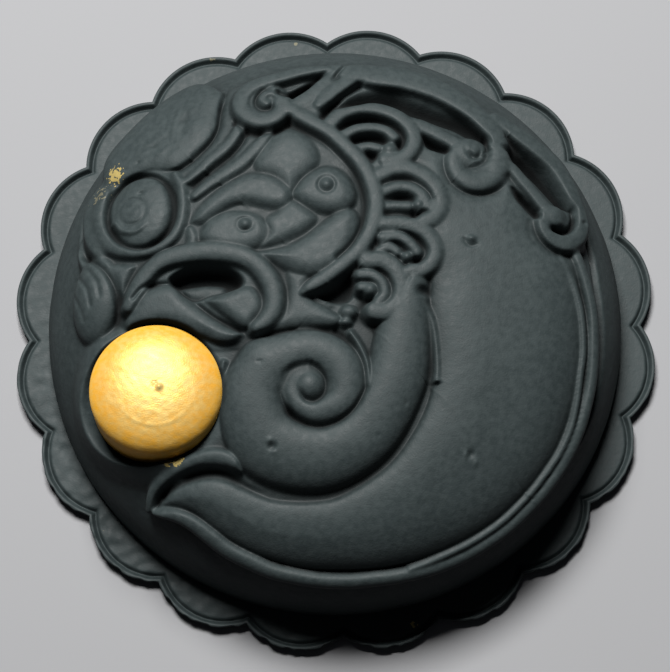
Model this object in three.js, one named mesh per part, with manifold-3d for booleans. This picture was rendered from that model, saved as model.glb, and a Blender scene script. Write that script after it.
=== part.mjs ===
// A moulded round cake: a domed crust on a scalloped foot, with a dragon that curls round its pearl
// in relief. Millimetres, +Z up, underside on z = 0, the dragon's brow towards +Y.
import * as THREE from "three";
import { mergeVertices } from "three/addons/utils/BufferGeometryUtils.js";
import Module from "manifold-3d";

// Driving dimensions
const PETALS = 20;
const PETAL_TIP_RADIUS = 40.1;
const PETAL_ARC_RADIUS = 8.6;
const PETAL_TURN = THREE.MathUtils.degToRad(1.5);
const FOOT_THICKNESS = 1.5;
const DOME_RADIUS = 35.5;
const DOME_HEIGHT = 19.4;
const DOME_SQUARENESS = 2.5;
const DOME_BASE = 1.3;

const PEARL = { x: -21.2, y: -11.1, equator: 17.4, radius: 8, crown: 5.3, wall: 6.2 };
const SOCKET_GAP = 0.3;

const STEP_ALONG = 1.6; // spacing of the sections along a ridge, and what half its width adds
const STEP_PER_WIDTH = 0.5;
const SCROLL_STEP = 0.9; // closer spacing round a scroll
const ROOT_DEPTH = 1.6; // how far a ridge reaches into the dome
const EDGE_SINK = 0.25; // how far its two edges dip under the dome's surface

const wasm = await Module();
wasm.setup();

// ---------- solids ----------

function solidOf(geometry) {
  const bare = geometry.index ? geometry.toNonIndexed() : geometry.clone();
  bare.deleteAttribute("normal");
  bare.deleteAttribute("uv");
  const merged = mergeVertices(bare, 1e-4);
  return new wasm.Manifold(
    new wasm.Mesh({
      numProp: 3,
      vertProperties: merged.attributes.position.array,
      triVerts: new Uint32Array(merged.index.array),
    }),
  );
}

function geometryOf(solid) {
  const mesh = solid.getMesh();
  return new THREE.BufferGeometry()
    .setAttribute("position", new THREE.BufferAttribute(new Float32Array(mesh.vertProperties), 3))
    .setIndex(new THREE.BufferAttribute(mesh.triVerts, 1));
}

// A closed tube through a row of rings with equal numbers of points, each ring anticlockwise when
// seen from the row's far end.
function loft(rings) {
  const count = rings[0].length;
  const points = rings.flat();
  const triangles = [];
  const quad = (a, b, c, d) => triangles.push(a, b, c, a, c, d);
  for (let i = 0; i < rings.length - 1; i++) {
    for (let j = 0; j < count; j++) {
      const next = (j + 1) % count;
      quad(i * count + j, i * count + next, (i + 1) * count + next, (i + 1) * count + j);
    }
  }
  const last = (rings.length - 1) * count;
  for (let j = 1; j < count - 1; j++) {
    triangles.push(0, j + 1, j);
    triangles.push(last, last + j, last + j + 1);
  }
  const geometry = new THREE.BufferGeometry().setFromPoints(points);
  geometry.setIndex(triangles);
  return solidOf(geometry);
}

// ---------- the dome's surface ----------

// A superellipsoid: (r / radius)^n + (z / height)^n = 1 over the plane of the foot.
function level(point) {
  const r = Math.hypot(point.x, point.y) / DOME_RADIUS;
  const z = Math.max(point.z - DOME_BASE, 0) / DOME_HEIGHT;
  return r ** DOME_SQUARENESS + z ** DOME_SQUARENESS;
}

function onDome(x, y) {
  const r = Math.min(Math.hypot(x, y) / DOME_RADIUS, 1);
  const z = DOME_BASE + DOME_HEIGHT * (1 - r ** DOME_SQUARENESS) ** (1 / DOME_SQUARENESS);
  return new THREE.Vector3(x, y, z);
}

// The point where the line from the dome's middle through a point meets the surface.
function wrap(point) {
  const middle = new THREE.Vector3(0, 0, DOME_BASE);
  const scale = level(point) ** (-1 / DOME_SQUARENESS);
  return point.clone().sub(middle).multiplyScalar(scale).add(middle);
}

function outward(point) {
  const r = Math.hypot(point.x, point.y) + 1e-9;
  const n = DOME_SQUARENESS - 1;
  const side = (r / DOME_RADIUS) ** n / DOME_RADIUS;
  const up = (Math.max(point.z - DOME_BASE, 0) / DOME_HEIGHT) ** n / DOME_HEIGHT;
  return new THREE.Vector3((side * point.x) / r, (side * point.y) / r, up).normalize();
}

// ---------- relief ----------

// A ridge along a path of plan points, wrapped on to the dome. Each path point is [x, y, half width];
// the section is half an ellipse, and both ends are rounded off.
function ridge(path, height, { sides = 4, blunt = 0.3, step = STEP_ALONG } = {}) {
  const curve = new THREE.CatmullRomCurve3(path.map(([x, y, w]) => new THREE.Vector3(x, y, w)));
  curve.curveType = "centripetal";
  const length = curve.getLength();
  const widest = Math.max(...path.map(([, , w]) => w));
  const pieces = Math.max(3, Math.round(length / (step + STEP_PER_WIDTH * widest)));
  const ends = widest > 1.9 ? [0, 0.3 / pieces] : [0];
  const stops = [...ends];
  for (let i = 1; i < pieces; i++) stops.push(i / pieces);
  stops.push(...ends.map((t) => 1 - t).reverse());
  const rings = stops.map((t) => {
    const here = curve.getPoint(t);
    const ahead = curve.getPoint(Math.min(t + 0.004, 1));
    const behind = curve.getPoint(Math.max(t - 0.004, 0));
    const base = onDome(here.x, here.y);
    const up = outward(base);
    const along = onDome(ahead.x, ahead.y).sub(onDome(behind.x, behind.y)).normalize();
    const across = new THREE.Vector3().crossVectors(up, along).normalize();
    const nearEnd = Math.min(1, (Math.min(t, 1 - t) * length) / Math.max(here.z, 0.3));
    const round = blunt + (1 - blunt) * Math.sqrt(1 - (1 - nearEnd) ** 2);
    const ring = [];
    for (let j = 0; j <= sides; j++) {
      const angle = (Math.PI * j) / sides;
      const foot = wrap(base.clone().addScaledVector(across, here.z * round * Math.cos(angle)));
      const rise = (height * round + EDGE_SINK) * Math.sin(angle) ** 0.8 - EDGE_SINK;
      ring.push(foot.clone().addScaledVector(outward(foot), rise));
    }
    ring.push(base.clone().addScaledVector(up, -ROOT_DEPTH));
    return ring;
  });
  return loft(rings);
}

// The same path with its half widths multiplied.
function fuller(path, times) {
  return path.map(([x, y, w]) => [x, y, w * times]);
}

// A smooth rounded mound on the dome, or with a negative height a bowl's cutter.
function mound([x, y], rx, ry, height, { turn = 0, spokes = 12, layers = 3 } = {}) {
  const base = onDome(x, y);
  const up = outward(base);
  const east = new THREE.Vector3(Math.cos(turn), Math.sin(turn), 0);
  const north = new THREE.Vector3().crossVectors(up, east).normalize();
  east.crossVectors(north, up).normalize();
  const ringAt = (share, lift) => {
    const ring = [];
    for (let j = 0; j < spokes; j++) {
      const a = (2 * Math.PI * j) / spokes;
      const foot = wrap(
        base
          .clone()
          .addScaledVector(east, rx * share * Math.cos(a))
          .addScaledVector(north, ry * share * Math.sin(a)),
      );
      ring.push(foot.clone().addScaledVector(outward(foot), lift));
    }
    return ring;
  };
  const sink = height < 0 ? 0 : EDGE_SINK;
  const rings = [ringAt(1, height < 0 ? 4 : -ROOT_DEPTH)];
  for (let i = 0; i < layers; i++) {
    const angle = (i / (layers - 0.5)) * (Math.PI / 2);
    rings.push(ringAt(Math.cos(angle), height * Math.sin(angle) - sink));
  }
  if (height < 0) rings.reverse();
  return loft(rings);
}

// A ridge bent round a middle: from its outer end it turns by so many degrees and narrows inwards.
function hook([x, y], radius, startDeg, turnDeg, halfWidth, height, inner) {
  const path = [];
  const count = Math.ceil(Math.abs(turnDeg) / 45);
  for (let i = 0; i <= count; i++) {
    const t = i / count;
    const a = THREE.MathUtils.degToRad(startDeg + turnDeg * t);
    const r = radius * (1 - (1 - inner) * t);
    path.push([x + r * Math.cos(a), y + r * Math.sin(a), halfWidth * (1 - 0.35 * t)]);
  }
  return ridge(path, height, { step: SCROLL_STEP });
}

// A hook rolled up into a spiral round a small ball.
function scroll(middle, radius, startDeg, turnDeg, halfWidth, height) {
  const ball = radius * 0.4;
  return [
    hook(middle, radius, startDeg, turnDeg, halfWidth, height, 0.5),
    mound(middle, ball, ball, height * 0.95, { spokes: 8, layers: 2 }),
  ];
}

// ---------- the sub-parts ----------

// The domed body, a lathe turned from the superellipse.
function dome() {
  const rings = 9;
  const profile = [new THREE.Vector2(0, 0.3), new THREE.Vector2(DOME_RADIUS - 0.6, 0.3)];
  for (let i = 0; i <= rings; i++) {
    const a = (i / rings) * (Math.PI / 2);
    const r = DOME_RADIUS * Math.cos(a) ** (2 / DOME_SQUARENESS);
    const z = DOME_BASE + DOME_HEIGHT * Math.sin(a) ** (2 / DOME_SQUARENESS);
    profile.push(new THREE.Vector2(i === rings ? 0 : r, z));
  }
  const lathe = new THREE.LatheGeometry(profile, 48);
  lathe.rotateX(Math.PI / 2);
  return solidOf(lathe);
}

// Radius of a petal's arc at an angle from its middle.
function petalEdge(angle) {
  const middle = PETAL_TIP_RADIUS - PETAL_ARC_RADIUS;
  return middle * Math.cos(angle) + Math.sqrt(PETAL_ARC_RADIUS ** 2 - (middle * Math.sin(angle)) ** 2);
}

// The flat foot: twenty petals, each with a thin raised lip, a groove inside it and a slightly
// raised plate, and a crease between one petal and the next.
function foot() {
  const perPetal = 6;
  const count = PETALS * perPetal;
  const inside = DOME_RADIUS - 2;
  const rows = [
    // share of the way out from the dome to the petal's edge, and height
    [0, FOOT_THICKNESS - 0.35],
    [0.74, FOOT_THICKNESS - 0.15],
    [0.83, FOOT_THICKNESS - 0.45],
    [0.92, FOOT_THICKNESS],
    [1, FOOT_THICKNESS - 0.2],
    [0.95, 0.0],
  ];
  const points = [];
  const triangles = [];
  for (let i = 0; i < count; i++) {
    const u = (2 * (i % perPetal)) / perPetal - 1; // -1 at a notch, 0 at the petal's tip
    const edge = petalEdge((u * Math.PI) / PETALS);
    const angle = PETAL_TURN + (2 * Math.PI * i) / count;
    for (const [share, z] of rows) {
      const r = inside + (edge - inside) * share;
      const crease = u === -1 && z > 0.6 ? 0.35 : 0;
      points.push(new THREE.Vector3(r * Math.cos(angle), r * Math.sin(angle), z - crease));
    }
  }
  const n = rows.length;
  for (let i = 0; i < count; i++) {
    const a = i * n;
    const b = ((i + 1) % count) * n;
    for (let j = 0; j < n - 1; j++) {
      triangles.push(a + j, a + j + 1, b + j + 1, a + j, b + j + 1, b + j);
    }
  }
  // The top and bottom discs that close the ring of petals
  const lower = points.length;
  points.push(new THREE.Vector3(0, 0, 0), new THREE.Vector3(0, 0, FOOT_THICKNESS - 0.35));
  for (let i = 0; i < count; i++) {
    const a = i * n;
    const b = ((i + 1) % count) * n;
    triangles.push(lower, b + n - 1, a + n - 1);
    triangles.push(lower + 1, a, b);
  }
  const geometry = new THREE.BufferGeometry().setFromPoints(points);
  geometry.setIndex(triangles);
  return solidOf(geometry);
}

// The long smooth belly, from the tip beside the pearl round to the crest, and the rim ridge and
// the fine line that follow its outer side.
function body() {
  const belly = [
    [-19.6, -23.0, 0.5],
    [-15.0, -23.1, 2.5],
    [-8.3, -25.1, 3.9],
    [0.8, -26.3, 4.1],
    [10.3, -23.5, 5.2],
    [17.2, -15.6, 7.0],
    [19.4, -3.4, 8.3],
    [17.9, 7.5, 8.0],
    [14.5, 16.5, 6.5],
  ];
  const rim = [
    [-20.6, -24.2, 0.5],
    [-15.6, -26.1, 0.8],
    [-8.0, -30.0, 1.0],
    [0.5, -31.5, 1.1],
    [10.8, -29.7, 1.2],
    [20.6, -24.0, 1.2],
    [27.5, -15.4, 1.2],
    [30.3, -5.1, 1.1],
    [29.7, 5.6, 0.9],
  ];
  const fin = [
    [-20.9, -23.6, 0.8],
    [-20.2, -20.6, 1.1],
    [-17.3, -18.7, 1.2],
    [-13.6, -18.3, 1.0],
    [-10.6, -19.8, 0.3],
  ];
  return [ridge(belly, 1.7, { sides: 8 }), ridge(rim, 1.1), ridge(fin, 1.4)];
}

// The tail: a thick roll that winds clockwise into a spiral and ends in a ball.
function tail() {
  const path = [
    [5.2, 5.0, 3.0],
    [7.6, -1.0, 3.7],
    [7.5, -6.2, 4.1],
    [6.1, -11.8, 4.2],
    [2.7, -16.5, 4.3],
    [-1.9, -18.4, 4.3],
    [-6.6, -16.8, 4.0],
    [-8.8, -12.5, 3.6],
    [-8.2, -8.6, 3.1],
    [-5.5, -6.5, 2.9],
    [-1.9, -6.5, 2.7],
    [0.7, -8.3, 2.5],
    [1.4, -11.1, 2.2],
    [0.1, -13.1, 1.7],
    [-1.9, -13.6, 1.4],
    [-3.6, -12.7, 1.4],
  ];
  return [ridge(path, 2.7, { sides: 6, step: 0.4 }), mound([-2.8, -10.9], 2.1, 2.1, 2.6)];
}

// Face: brow pad, eye with its lid and pupil, nose bump, mouth ring, lip and chin.
function face() {
  return [
    ridge([[-27.2, 18.6, 2.2], [-22.6, 21.6, 4.2], [-18.0, 24.4, 3.8], [-14.2, 28.0, 1.4]], 1.4),
    mound([-21.9, 10.4], 3.9, 3.9, 1.6, { spokes: 16 }),
    mound([-23.2, 10.5], 1.6, 1.6, 2.5, { spokes: 10, layers: 2 }),
    hook([-21.9, 10.4], 5.0, 55, -240, 0.7, 1.3, 0.96),
    mound([-28.4, 0.7], 2.9, 4.6, 1.5),
    ridge([[-26.2, 3.6, 0.6], [-23.9, 2.9, 1.4], [-22.4, 2.6, 0.6]], 0.9),
    ridge(
      [
        [-24.4, -0.6, 0.7],
        [-20.6, 3.2, 0.9],
        [-15.3, 5.2, 0.9],
        [-9.8, 4.1, 0.9],
        [-6.9, 0.4, 0.9],
        [-8.3, -2.7, 0.9],
        [-11.2, -2.6, 0.8],
        [-14.0, -0.9, 0.6],
      ],
      2.0,
    ),
    ridge([[-22.6, -0.5, 0.6], [-17.4, -0.9, 1.6], [-13.4, -2.8, 1.3], [-10.2, -4.8, 0.3]], 1.3),
    ridge([[-5.4, 2.2, 1.5], [-3.9, -0.6, 2.5], [-3.3, -2.6, 2.3]], 1.3),
    ridge([[-13.2, -4.9, 0.6], [-9.0, -3.6, 1.2], [-4.6, -3.9, 1.2], [0.2, -3.6, 0.8]], 1.0),
  ];
}

// The five smooth leaves of the cheek and the crisp ridge that bounds them.
function cheek() {
  const leaves = [
    [[-16.4, 8.2, 0.4], [-12.6, 10.9, 1.7], [-8.9, 12.6, 2.1], [-6.2, 12.2, 1.0]],
    [[-15.2, 8.0, 0.4], [-13.2, 7.8, 1.5], [-11.0, 7.8, 2.0], [-8.4, 7.9, 1.5], [-6.8, 8.2, 0.4]],
    [[-9.2, 6.2, 0.8], [-5.7, 8.3, 2.0], [-1.8, 9.4, 0.4]],
    [[-8.2, 16.0, 1.4], [-5.2, 16.8, 3.0], [-2.4, 16.6, 1.6]],
    [[-4.9, 12.0, 0.6], [-2.6, 12.4, 2.4], [-0.6, 12.2, 2.8], [2.0, 12.0, 0.8]],
    [[-9.6, 4.9, 0.6], [-5.8, 4.5, 2.0], [-1.8, 5.4, 2.7], [0.9, 7.8, 2.0], [1.8, 9.5, 0.8]],
  ];
  const bound = [
    [-5.2, 21.0, 0.6],
    [-2.6, 20.6, 0.8],
    [-0.3, 18.6, 0.8],
    [2.6, 14.6, 0.8],
    [4.4, 10.7, 0.8],
    [4.1, 6.8, 0.8],
    [1.6, 3.5, 0.8],
    [-2.8, 0.1, 0.7],
  ];
  return [...leaves.map((leaf) => ridge(fuller(leaf, 1.22), 1.6)), ridge(fuller(bound, 1.2), 2.5)];
}

// The swept strands behind the eye, the nose scroll and the two forked leaves above it.
function forelock() {
  const strands = [
    [[-12.0, 28.0, 0.6], [-12.3, 23.6, 0.7], [-14.0, 19.0, 0.7], [-16.7, 15.9, 0.5]],
    [[-10.9, 21.2, 0.4], [-12.5, 18.2, 0.6], [-15.0, 15.8, 0.6], [-17.2, 13.4, 0.4]],
    [[-8.0, 18.2, 0.4], [-11.4, 15.5, 0.6], [-13.9, 13.8, 0.6], [-16.6, 11.2, 0.4]],
  ];
  return [
    ...strands.map((strand) => ridge(fuller(strand, 1.4), 1.4)),
    ridge([[0.0, 28.4, 0.5], [-4.6, 27.9, 0.9], [-8.2, 26.4, 1.1], [-10.1, 24.4, 1.1]], 1.8),
    ...scroll([-7.9, 23.4], 2.4, 150, 330, 1.0, 2.2),
    ridge([[-4.6, 22.3, 0.6], [-2.3, 24.2, 1.2], [-0.8, 26.4, 1.0], [1.1, 29.0, 0.4]], 1.7),
    ridge([[-2.0, 22.8, 0.5], [0.5, 25.7, 1.0], [4.3, 27.9, 0.8], [8.0, 28.6, 0.4]], 1.7),
  ];
}

// The two crest bands that sweep back along the shoulder, each rolled into a scroll with a stub.
function crest() {
  return [
    ridge([[2.2, 27.0, 0.7], [7.5, 26.0, 1.1], [13.0, 24.0, 1.1], [17.2, 21.0, 1.1]], 2.0),
    ...scroll([16.1, 17.2], 3.2, 75, -330, 1.15, 2.3),
    ridge([[9.3, 21.9, 0.6], [11.4, 19.7, 0.9], [13.8, 18.4, 0.7]], 1.7),
    ridge([[10.5, 28.4, 0.4], [18.0, 25.4, 0.9], [22.6, 20.6, 1.0], [28.3, 11.8, 1.0]], 2.0),
    ...scroll([26.0, 8.7], 2.6, 70, -330, 0.95, 2.1),
    ridge([[20.1, 16.2, 0.6], [22.1, 13.5, 0.9], [24.2, 11.5, 0.6]], 1.6),
  ];
}

// Four curls of mane behind the cheek: an outer hook, an inner hook with a ball, and a stub.
function mane() {
  const curls = [
    { at: [4.2, 18.0], radius: 4.3, start: 155, turn: -215 },
    { at: [7.4, 10.6], radius: 4.1, start: 128, turn: -215 },
    { at: [7.6, 5.0], radius: 3.4, start: 128, turn: -215 },
  ];
  const hooks = curls.flatMap(({ at, radius, start, turn }) => [
    hook(at, radius, start, turn, 0.85, 2.2, 0.86),
    hook(at, radius * 0.58, start, turn * 0.75, 0.65, 1.8, 0.8),
    mound([at[0] + 1.8, at[1] - 0.9], 1.0, 1.0, 2.2, { spokes: 8, layers: 2 }),
    ridge([[at[0] - 2.8, at[1] - 0.6, 0.6], [at[0] + 0.4, at[1] - 0.8, 0.7]], 1.6),
  ]);
  return [...hooks, ...scroll([4.1, 0.4], 2.9, 75, -330, 0.85, 2.2)];
}

// The small vent nipples that the mould leaves on the smooth fields.
function vents() {
  const places = [[15.4, 6.2], [15.1, -18.4], [-6.7, -17.3], [-10.1, 8.0], [-1.1, 12.6], [11.1, -9.8]];
  return places.map((place) => mound(place, 0.6, 0.6, 2.6, { spokes: 6, layers: 2 }));
}

// The pearl: a low dome on an upright round wall that reaches down to the slope it stands on. Grown
// by the gap, the same shape cuts its seat.
function pearlShape(grow) {
  const { x, y, equator, radius, crown, wall } = PEARL;
  const profile = [new THREE.Vector2(0, -wall - grow), new THREE.Vector2(radius + grow, -wall - grow)];
  const rings = 6;
  for (let i = 0; i < rings; i++) {
    const a = (i / rings) * (Math.PI / 2);
    profile.push(new THREE.Vector2((radius + grow) * Math.cos(a), (crown + grow) * Math.sin(a)));
  }
  profile.push(new THREE.Vector2(0, crown + grow));
  const lathe = new THREE.LatheGeometry(profile, 32);
  lathe.rotateX(Math.PI / 2);
  lathe.translate(x, y, equator);
  return solidOf(lathe);
}

function crust() {
  const mouth = mound([-13.2, 1.8], 5.6, 1.9, -1.6, { turn: -0.3 });
  const throat = mound([0.5, -0.4], 1.7, 1.0, -1.6);
  const relief = [body, tail, face, cheek, forelock, crest, mane, vents].flatMap((make) => make());
  const blank = dome().add(foot()).subtract(mouth).subtract(throat);
  return relief.reduce((solid, shape) => solid.add(shape), blank).subtract(pearlShape(SOCKET_GAP));
}

function named(name, solid, color, roughness, metalness) {
  const mesh = new THREE.Mesh(
    geometryOf(solid),
    new THREE.MeshStandardMaterial({ color, roughness, metalness }),
  );
  mesh.name = name;
  return mesh;
}

const group = new THREE.Group();
group.add(named("crust", crust(), 0x3a3e3f, 0.7, 0));
group.add(named("pearl", pearlShape(0), 0xd9a943, 0.5, 0.6));

export default group;
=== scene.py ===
"""A black mooncake pressed with a dragon curled round its gold pearl, dressed for a studio picture."""

import logging
import math
from dataclasses import dataclass, field
from enum import Enum
from typing import Optional

import bpy
import numpy as np
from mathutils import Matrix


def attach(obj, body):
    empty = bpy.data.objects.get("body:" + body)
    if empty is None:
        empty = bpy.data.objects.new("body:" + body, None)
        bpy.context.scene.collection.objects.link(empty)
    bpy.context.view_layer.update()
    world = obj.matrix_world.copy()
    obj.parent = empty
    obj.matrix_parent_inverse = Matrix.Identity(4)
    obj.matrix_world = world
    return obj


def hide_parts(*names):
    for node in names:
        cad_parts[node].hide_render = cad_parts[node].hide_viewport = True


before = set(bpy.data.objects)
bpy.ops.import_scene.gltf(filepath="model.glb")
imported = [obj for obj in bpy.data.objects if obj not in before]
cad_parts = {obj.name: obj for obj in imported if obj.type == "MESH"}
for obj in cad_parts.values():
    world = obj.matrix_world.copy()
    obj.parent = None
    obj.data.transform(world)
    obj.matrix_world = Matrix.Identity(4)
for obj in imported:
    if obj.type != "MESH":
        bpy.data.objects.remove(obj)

# Lengths are in millimetres. In the materials and the studio they are in metres, but for the sensor.
MM = 0.001
LINE_STEP = 0.35  # how far apart the samples of a line are
OUTLINE_STEP = 0.5  # the same round an outline
CIRCLE_POINTS = 20
THINNEST = 0.08  # least half width of a ridge
FAINTEST = 0.001  # least strength of a groove
PAST_RIDGE = 0.6  # how far past its edge a ridge or a boss is worked out
PAST_DIMPLE = 0.2  # the same for a dimple
PAST_PLATE = 1.2  # the same for a plate or a hollow
SIDE = 4.0  # slope at which a raised mark falls off past its edge
WALL = 12.0  # slope at which a hollow rises past its edge
WAVES = 28  # how many plane waves make up a random pattern
PROFILE = 4001  # samples of the dome's profile
PAIRS = 1500000  # most pairs of a place and a piece of line that are measured at once
COINCIDE = 1e-6  # samples nearer than this are one
TINY = 1e-9  # keeps a divisor off nought
Spots = tuple[tuple[float, ...], ...]
Colour = tuple[float, float, float]
Value = bpy.types.NodeSocket | float
log = logging.getLogger("mooncake")


# ---------------------------------------------------------------- curves and fields


def flowing(points: Spots, step: float = LINE_STEP, closed: bool = False) -> np.ndarray:
    """Draws one smooth line through the points.

    Each span is a cubic with the slopes of its neighbours, (next - previous) / 2; a point given twice
    makes a sharp corner.

    Args:
        points: the places it goes through, each x, y and any further values carried along.
        step: about how far apart the samples are.
        closed: whether the line runs back to its start.

    Returns:
        The samples, one row each.
    """
    p = np.array(points, float)
    if closed:
        p = np.vstack([p[-1], p, p[:2]])
    else:
        p = np.vstack([2 * p[0] - p[1], p, 2 * p[-1] - p[-2]])
    spans = len(p) - 3
    reach = np.linalg.norm(np.diff(p[1:-1, :2], axis=0), axis=1)
    count = np.maximum(np.ceil(reach / step).astype(int), 1)
    span = np.repeat(np.arange(spans), count)
    start = np.repeat(np.cumsum(count) - count, count)
    t = ((np.arange(len(span)) - start) / np.repeat(count, count))[:, None]
    a, b, c, d = (p[span + i] for i in range(4))
    line = 0.5 * (2 * b + (c - a) * t + (2 * a - 5 * b + 4 * c - d) * t**2 + (3 * b - a - 3 * c + d) * t**3)
    line = np.vstack([line, p[-2]])
    keep = np.append(True, np.linalg.norm(np.diff(line[:, :2], axis=0), axis=1) > COINCIDE)
    return line[keep]


def thirds(points: Spots, value: float) -> Spots:
    """Gives each point with a third value, its own or the given one."""
    return tuple((*p[:2], p[2] if len(p) > 2 else value) for p in points)


def circle(x: float, y: float, across: float, along: Optional[float] = None) -> Spots:
    """Gives the points of a circle, or of an oval with two half sizes."""
    turns = np.linspace(0, 2 * np.pi, CIRCLE_POINTS + 1)[:-1]
    return tuple((x + across * math.cos(t), y + (along or across) * math.sin(t)) for t in turns)


def waves(places: np.ndarray, size: float, seed: int) -> np.ndarray:
    """Makes gentle random unevenness: the mean of plane waves in random directions, about -1 to 1.

    Each wave is a cosine of the place along its direction, of 0.6 to 1.4 times as many periods as the
    size asks for, and their sum is divided by the root of their number.

    Args:
        places: where it is wanted, one row each.
        size: length of a wave, in the same unit.
        seed: which pattern.

    Returns:
        One value a place.
    """
    chance = np.random.default_rng(seed)
    turn = chance.normal(size=(places.shape[-1], WAVES))
    turn *= 2 * np.pi / size * chance.uniform(0.6, 1.4, WAVES) / np.linalg.norm(turn, axis=0)
    return np.cos(places @ turn + chance.uniform(0, 2 * np.pi, WAVES)).sum(axis=-1) / math.sqrt(WAVES)


def soft_max(a: np.ndarray, b: np.ndarray, blend: float) -> np.ndarray:
    """Takes the larger of two heights, with a fillet of about the blend where they cross."""
    near = np.clip(1 - np.abs(a - b) / blend, 0, 1)
    return np.maximum(a, b) + blend * near**2 / 4


def rounded(share: np.ndarray, sides: float) -> np.ndarray:
    """Gives a round back, 1 in the middle and 0 at the edge: the root of 1 - share^sides."""
    return np.clip(1 - share**sides, 0, 1) ** 0.5


def blurred(grid: np.ndarray, cells: int) -> np.ndarray:
    """Averages a grid over a square of 2 cells + 1 a side, twice, so that the weights fall off evenly.

    A sum over a span is the difference of two running totals; past the edge its values go on as they are.

    Args:
        grid: the values.
        cells: how many neighbours each way are taken in.

    Returns:
        The averages, as many as the values.
    """
    span = 2 * cells + 1
    for axis in (0, 1, 0, 1):
        pad = [(0, 0), (0, 0)]
        pad[axis] = (cells + 1, cells)
        total = np.cumsum(np.pad(grid, pad, mode="edge"), axis=axis)
        count = total.shape[axis]
        after, before = np.arange(span, count), np.arange(count - span)
        grid = (np.take(total, after, axis) - np.take(total, before, axis)) / span
    return grid


@dataclass(frozen=True)
class Dome:
    """The plain round top that the relief stands on, a rounded drum: (r / R)^n + (z / H)^n = 1."""

    radius: float = 35.5
    rise: float = 19.4
    base: float = 1.3
    power: float = 2.5

    def height(self, reach: np.ndarray) -> np.ndarray:
        """Gives z at a distance from the axis: base + H (1 - (r / R)^n)^(1 / n)."""
        inside = np.clip(1 - (np.minimum(reach, self.radius) / self.radius) ** self.power, 0, 1)
        return self.base + self.rise * inside ** (1 / self.power)

    def lift(self, plan: np.ndarray) -> np.ndarray:
        """Puts plan positions on the dome."""
        return np.column_stack([plan[:, :2], self.height(np.hypot(plan[:, 0], plan[:, 1]))])

    def outward(self, spots: np.ndarray) -> np.ndarray:
        """Gives the unit normals, along the slope of (r / R)^n + (z / H)^n.

        Args:
            spots: places on the dome, one row each.

        Returns:
            The normals, one row each.
        """
        reach = np.hypot(spots[:, 0], spots[:, 1]) + TINY
        across = (reach / self.radius) ** (self.power - 1) / self.radius
        up = (np.clip(spots[:, 2] - self.base, 0, None) / self.rise) ** (self.power - 1) / self.rise
        way = np.column_stack([spots[:, 0] / reach * across, spots[:, 1] / reach * across, up])
        return way / np.linalg.norm(way, axis=1)[:, None]

    def grid(self, cells: int) -> np.ndarray:
        """Covers the dome with a square grid folded into round rings, evenly spaced along the slope.

        A grid place (u, v) from -1 to 1 goes to the ring max(|u|, |v|) at the angle that its share of
        the ring's side gives; rings are equally far apart along the profile.

        Args:
            cells: number of cells on a side.

        Returns:
            An array (cells + 1, cells + 1, 3) of places.
        """
        lean = np.linspace(0, np.pi / 2, PROFILE)
        reach = self.radius * np.sin(lean) ** (2 / self.power)
        rise = self.rise * np.cos(lean) ** (2 / self.power)
        along = np.append(0, np.cumsum(np.hypot(np.diff(reach), np.diff(rise))))
        u, v = np.meshgrid(*(np.linspace(-1, 1, cells + 1),) * 2, indexing="ij")
        ring = np.maximum(np.abs(u), np.abs(v))
        safe = np.where(ring == 0, 1, ring)
        flat = np.abs(u) >= np.abs(v)
        east, north = np.pi / 4 * v / safe * np.sign(u), np.pi / 2 - np.pi / 4 * u / safe * np.sign(v)
        angle = np.where(flat, east, north)
        angle += np.where(flat, np.where(u < 0, np.pi, 0), np.where(v < 0, np.pi, 0))
        out = np.interp(ring * along[-1], along, reach)
        up = np.interp(ring * along[-1], along, rise)
        return np.stack([out * np.cos(angle), out * np.sin(angle), self.base + up], axis=-1)


class Relief:
    """Heights over the dome, at each place of its grid, that the marks raise and cut."""

    def __init__(self, dome: Dome, cells: int) -> None:
        """Starts flat.

        Args:
            dome: what the relief stands on.
            cells: number of cells on a side of its grid.
        """
        self.dome = dome
        self.shape = (cells + 1, cells + 1)
        self.spots = dome.grid(cells).reshape(-1, 3)
        self.height = np.zeros(len(self.spots))

    def near(self, plan: np.ndarray, reach: float) -> np.ndarray:
        """Lists the grid places whose plan position is within a reach of the box of the given points."""
        low, high = plan[:, :2].min(axis=0) - reach, plan[:, :2].max(axis=0) + reach
        return np.flatnonzero(((self.spots[:, :2] > low) & (self.spots[:, :2] < high)).all(axis=1))

    def raise_to(self, places: np.ndarray, top: np.ndarray, blend: float) -> None:
        """Raises the places that are lower than a top, with a fillet."""
        self.height[places] = soft_max(self.height[places], top, blend)

    def measure(self, places: np.ndarray, line: np.ndarray) -> tuple[np.ndarray, np.ndarray, np.ndarray]:
        """Measures grid places against a line that lies on the dome.

        The distance is the shortest one in space to any of the line's pieces, each a + t (b - a) with t
        held between 0 and 1.

        Args:
            places: numbers of the grid places.
            line: samples x, y and half width.

        Returns:
            The distance, the half width there, and 1 on the left of the line or -1 on its right.
        """
        track = self.dome.lift(line)
        a, step = track[:-1], np.diff(track, axis=0)
        square = (step**2).sum(axis=1)
        found = []
        for block in np.array_split(places, max(1, len(places) * len(a) // PAIRS)):
            gap = self.spots[block, None, :] - a
            t = np.clip((gap * step).sum(axis=2) / square, 0, 1)
            away = np.sqrt(((gap - t[..., None] * step) ** 2).sum(axis=2))
            best = away.argmin(axis=1)
            row = np.arange(len(block))
            share = t[row, best]
            width = line[best, 2] * (1 - share) + line[best + 1, 2] * share
            side = np.sign(step[best, 0] * gap[row, best, 1] - step[best, 1] * gap[row, best, 0])
            found.append(np.stack([away[row, best], width, side]))
        return tuple(np.hstack(found))


# ---------------------------------------------------------------- marks


class Cut(Enum):
    """How a groove is shaped across."""

    CREASE = "crease"
    CHANNEL = "channel"


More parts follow.
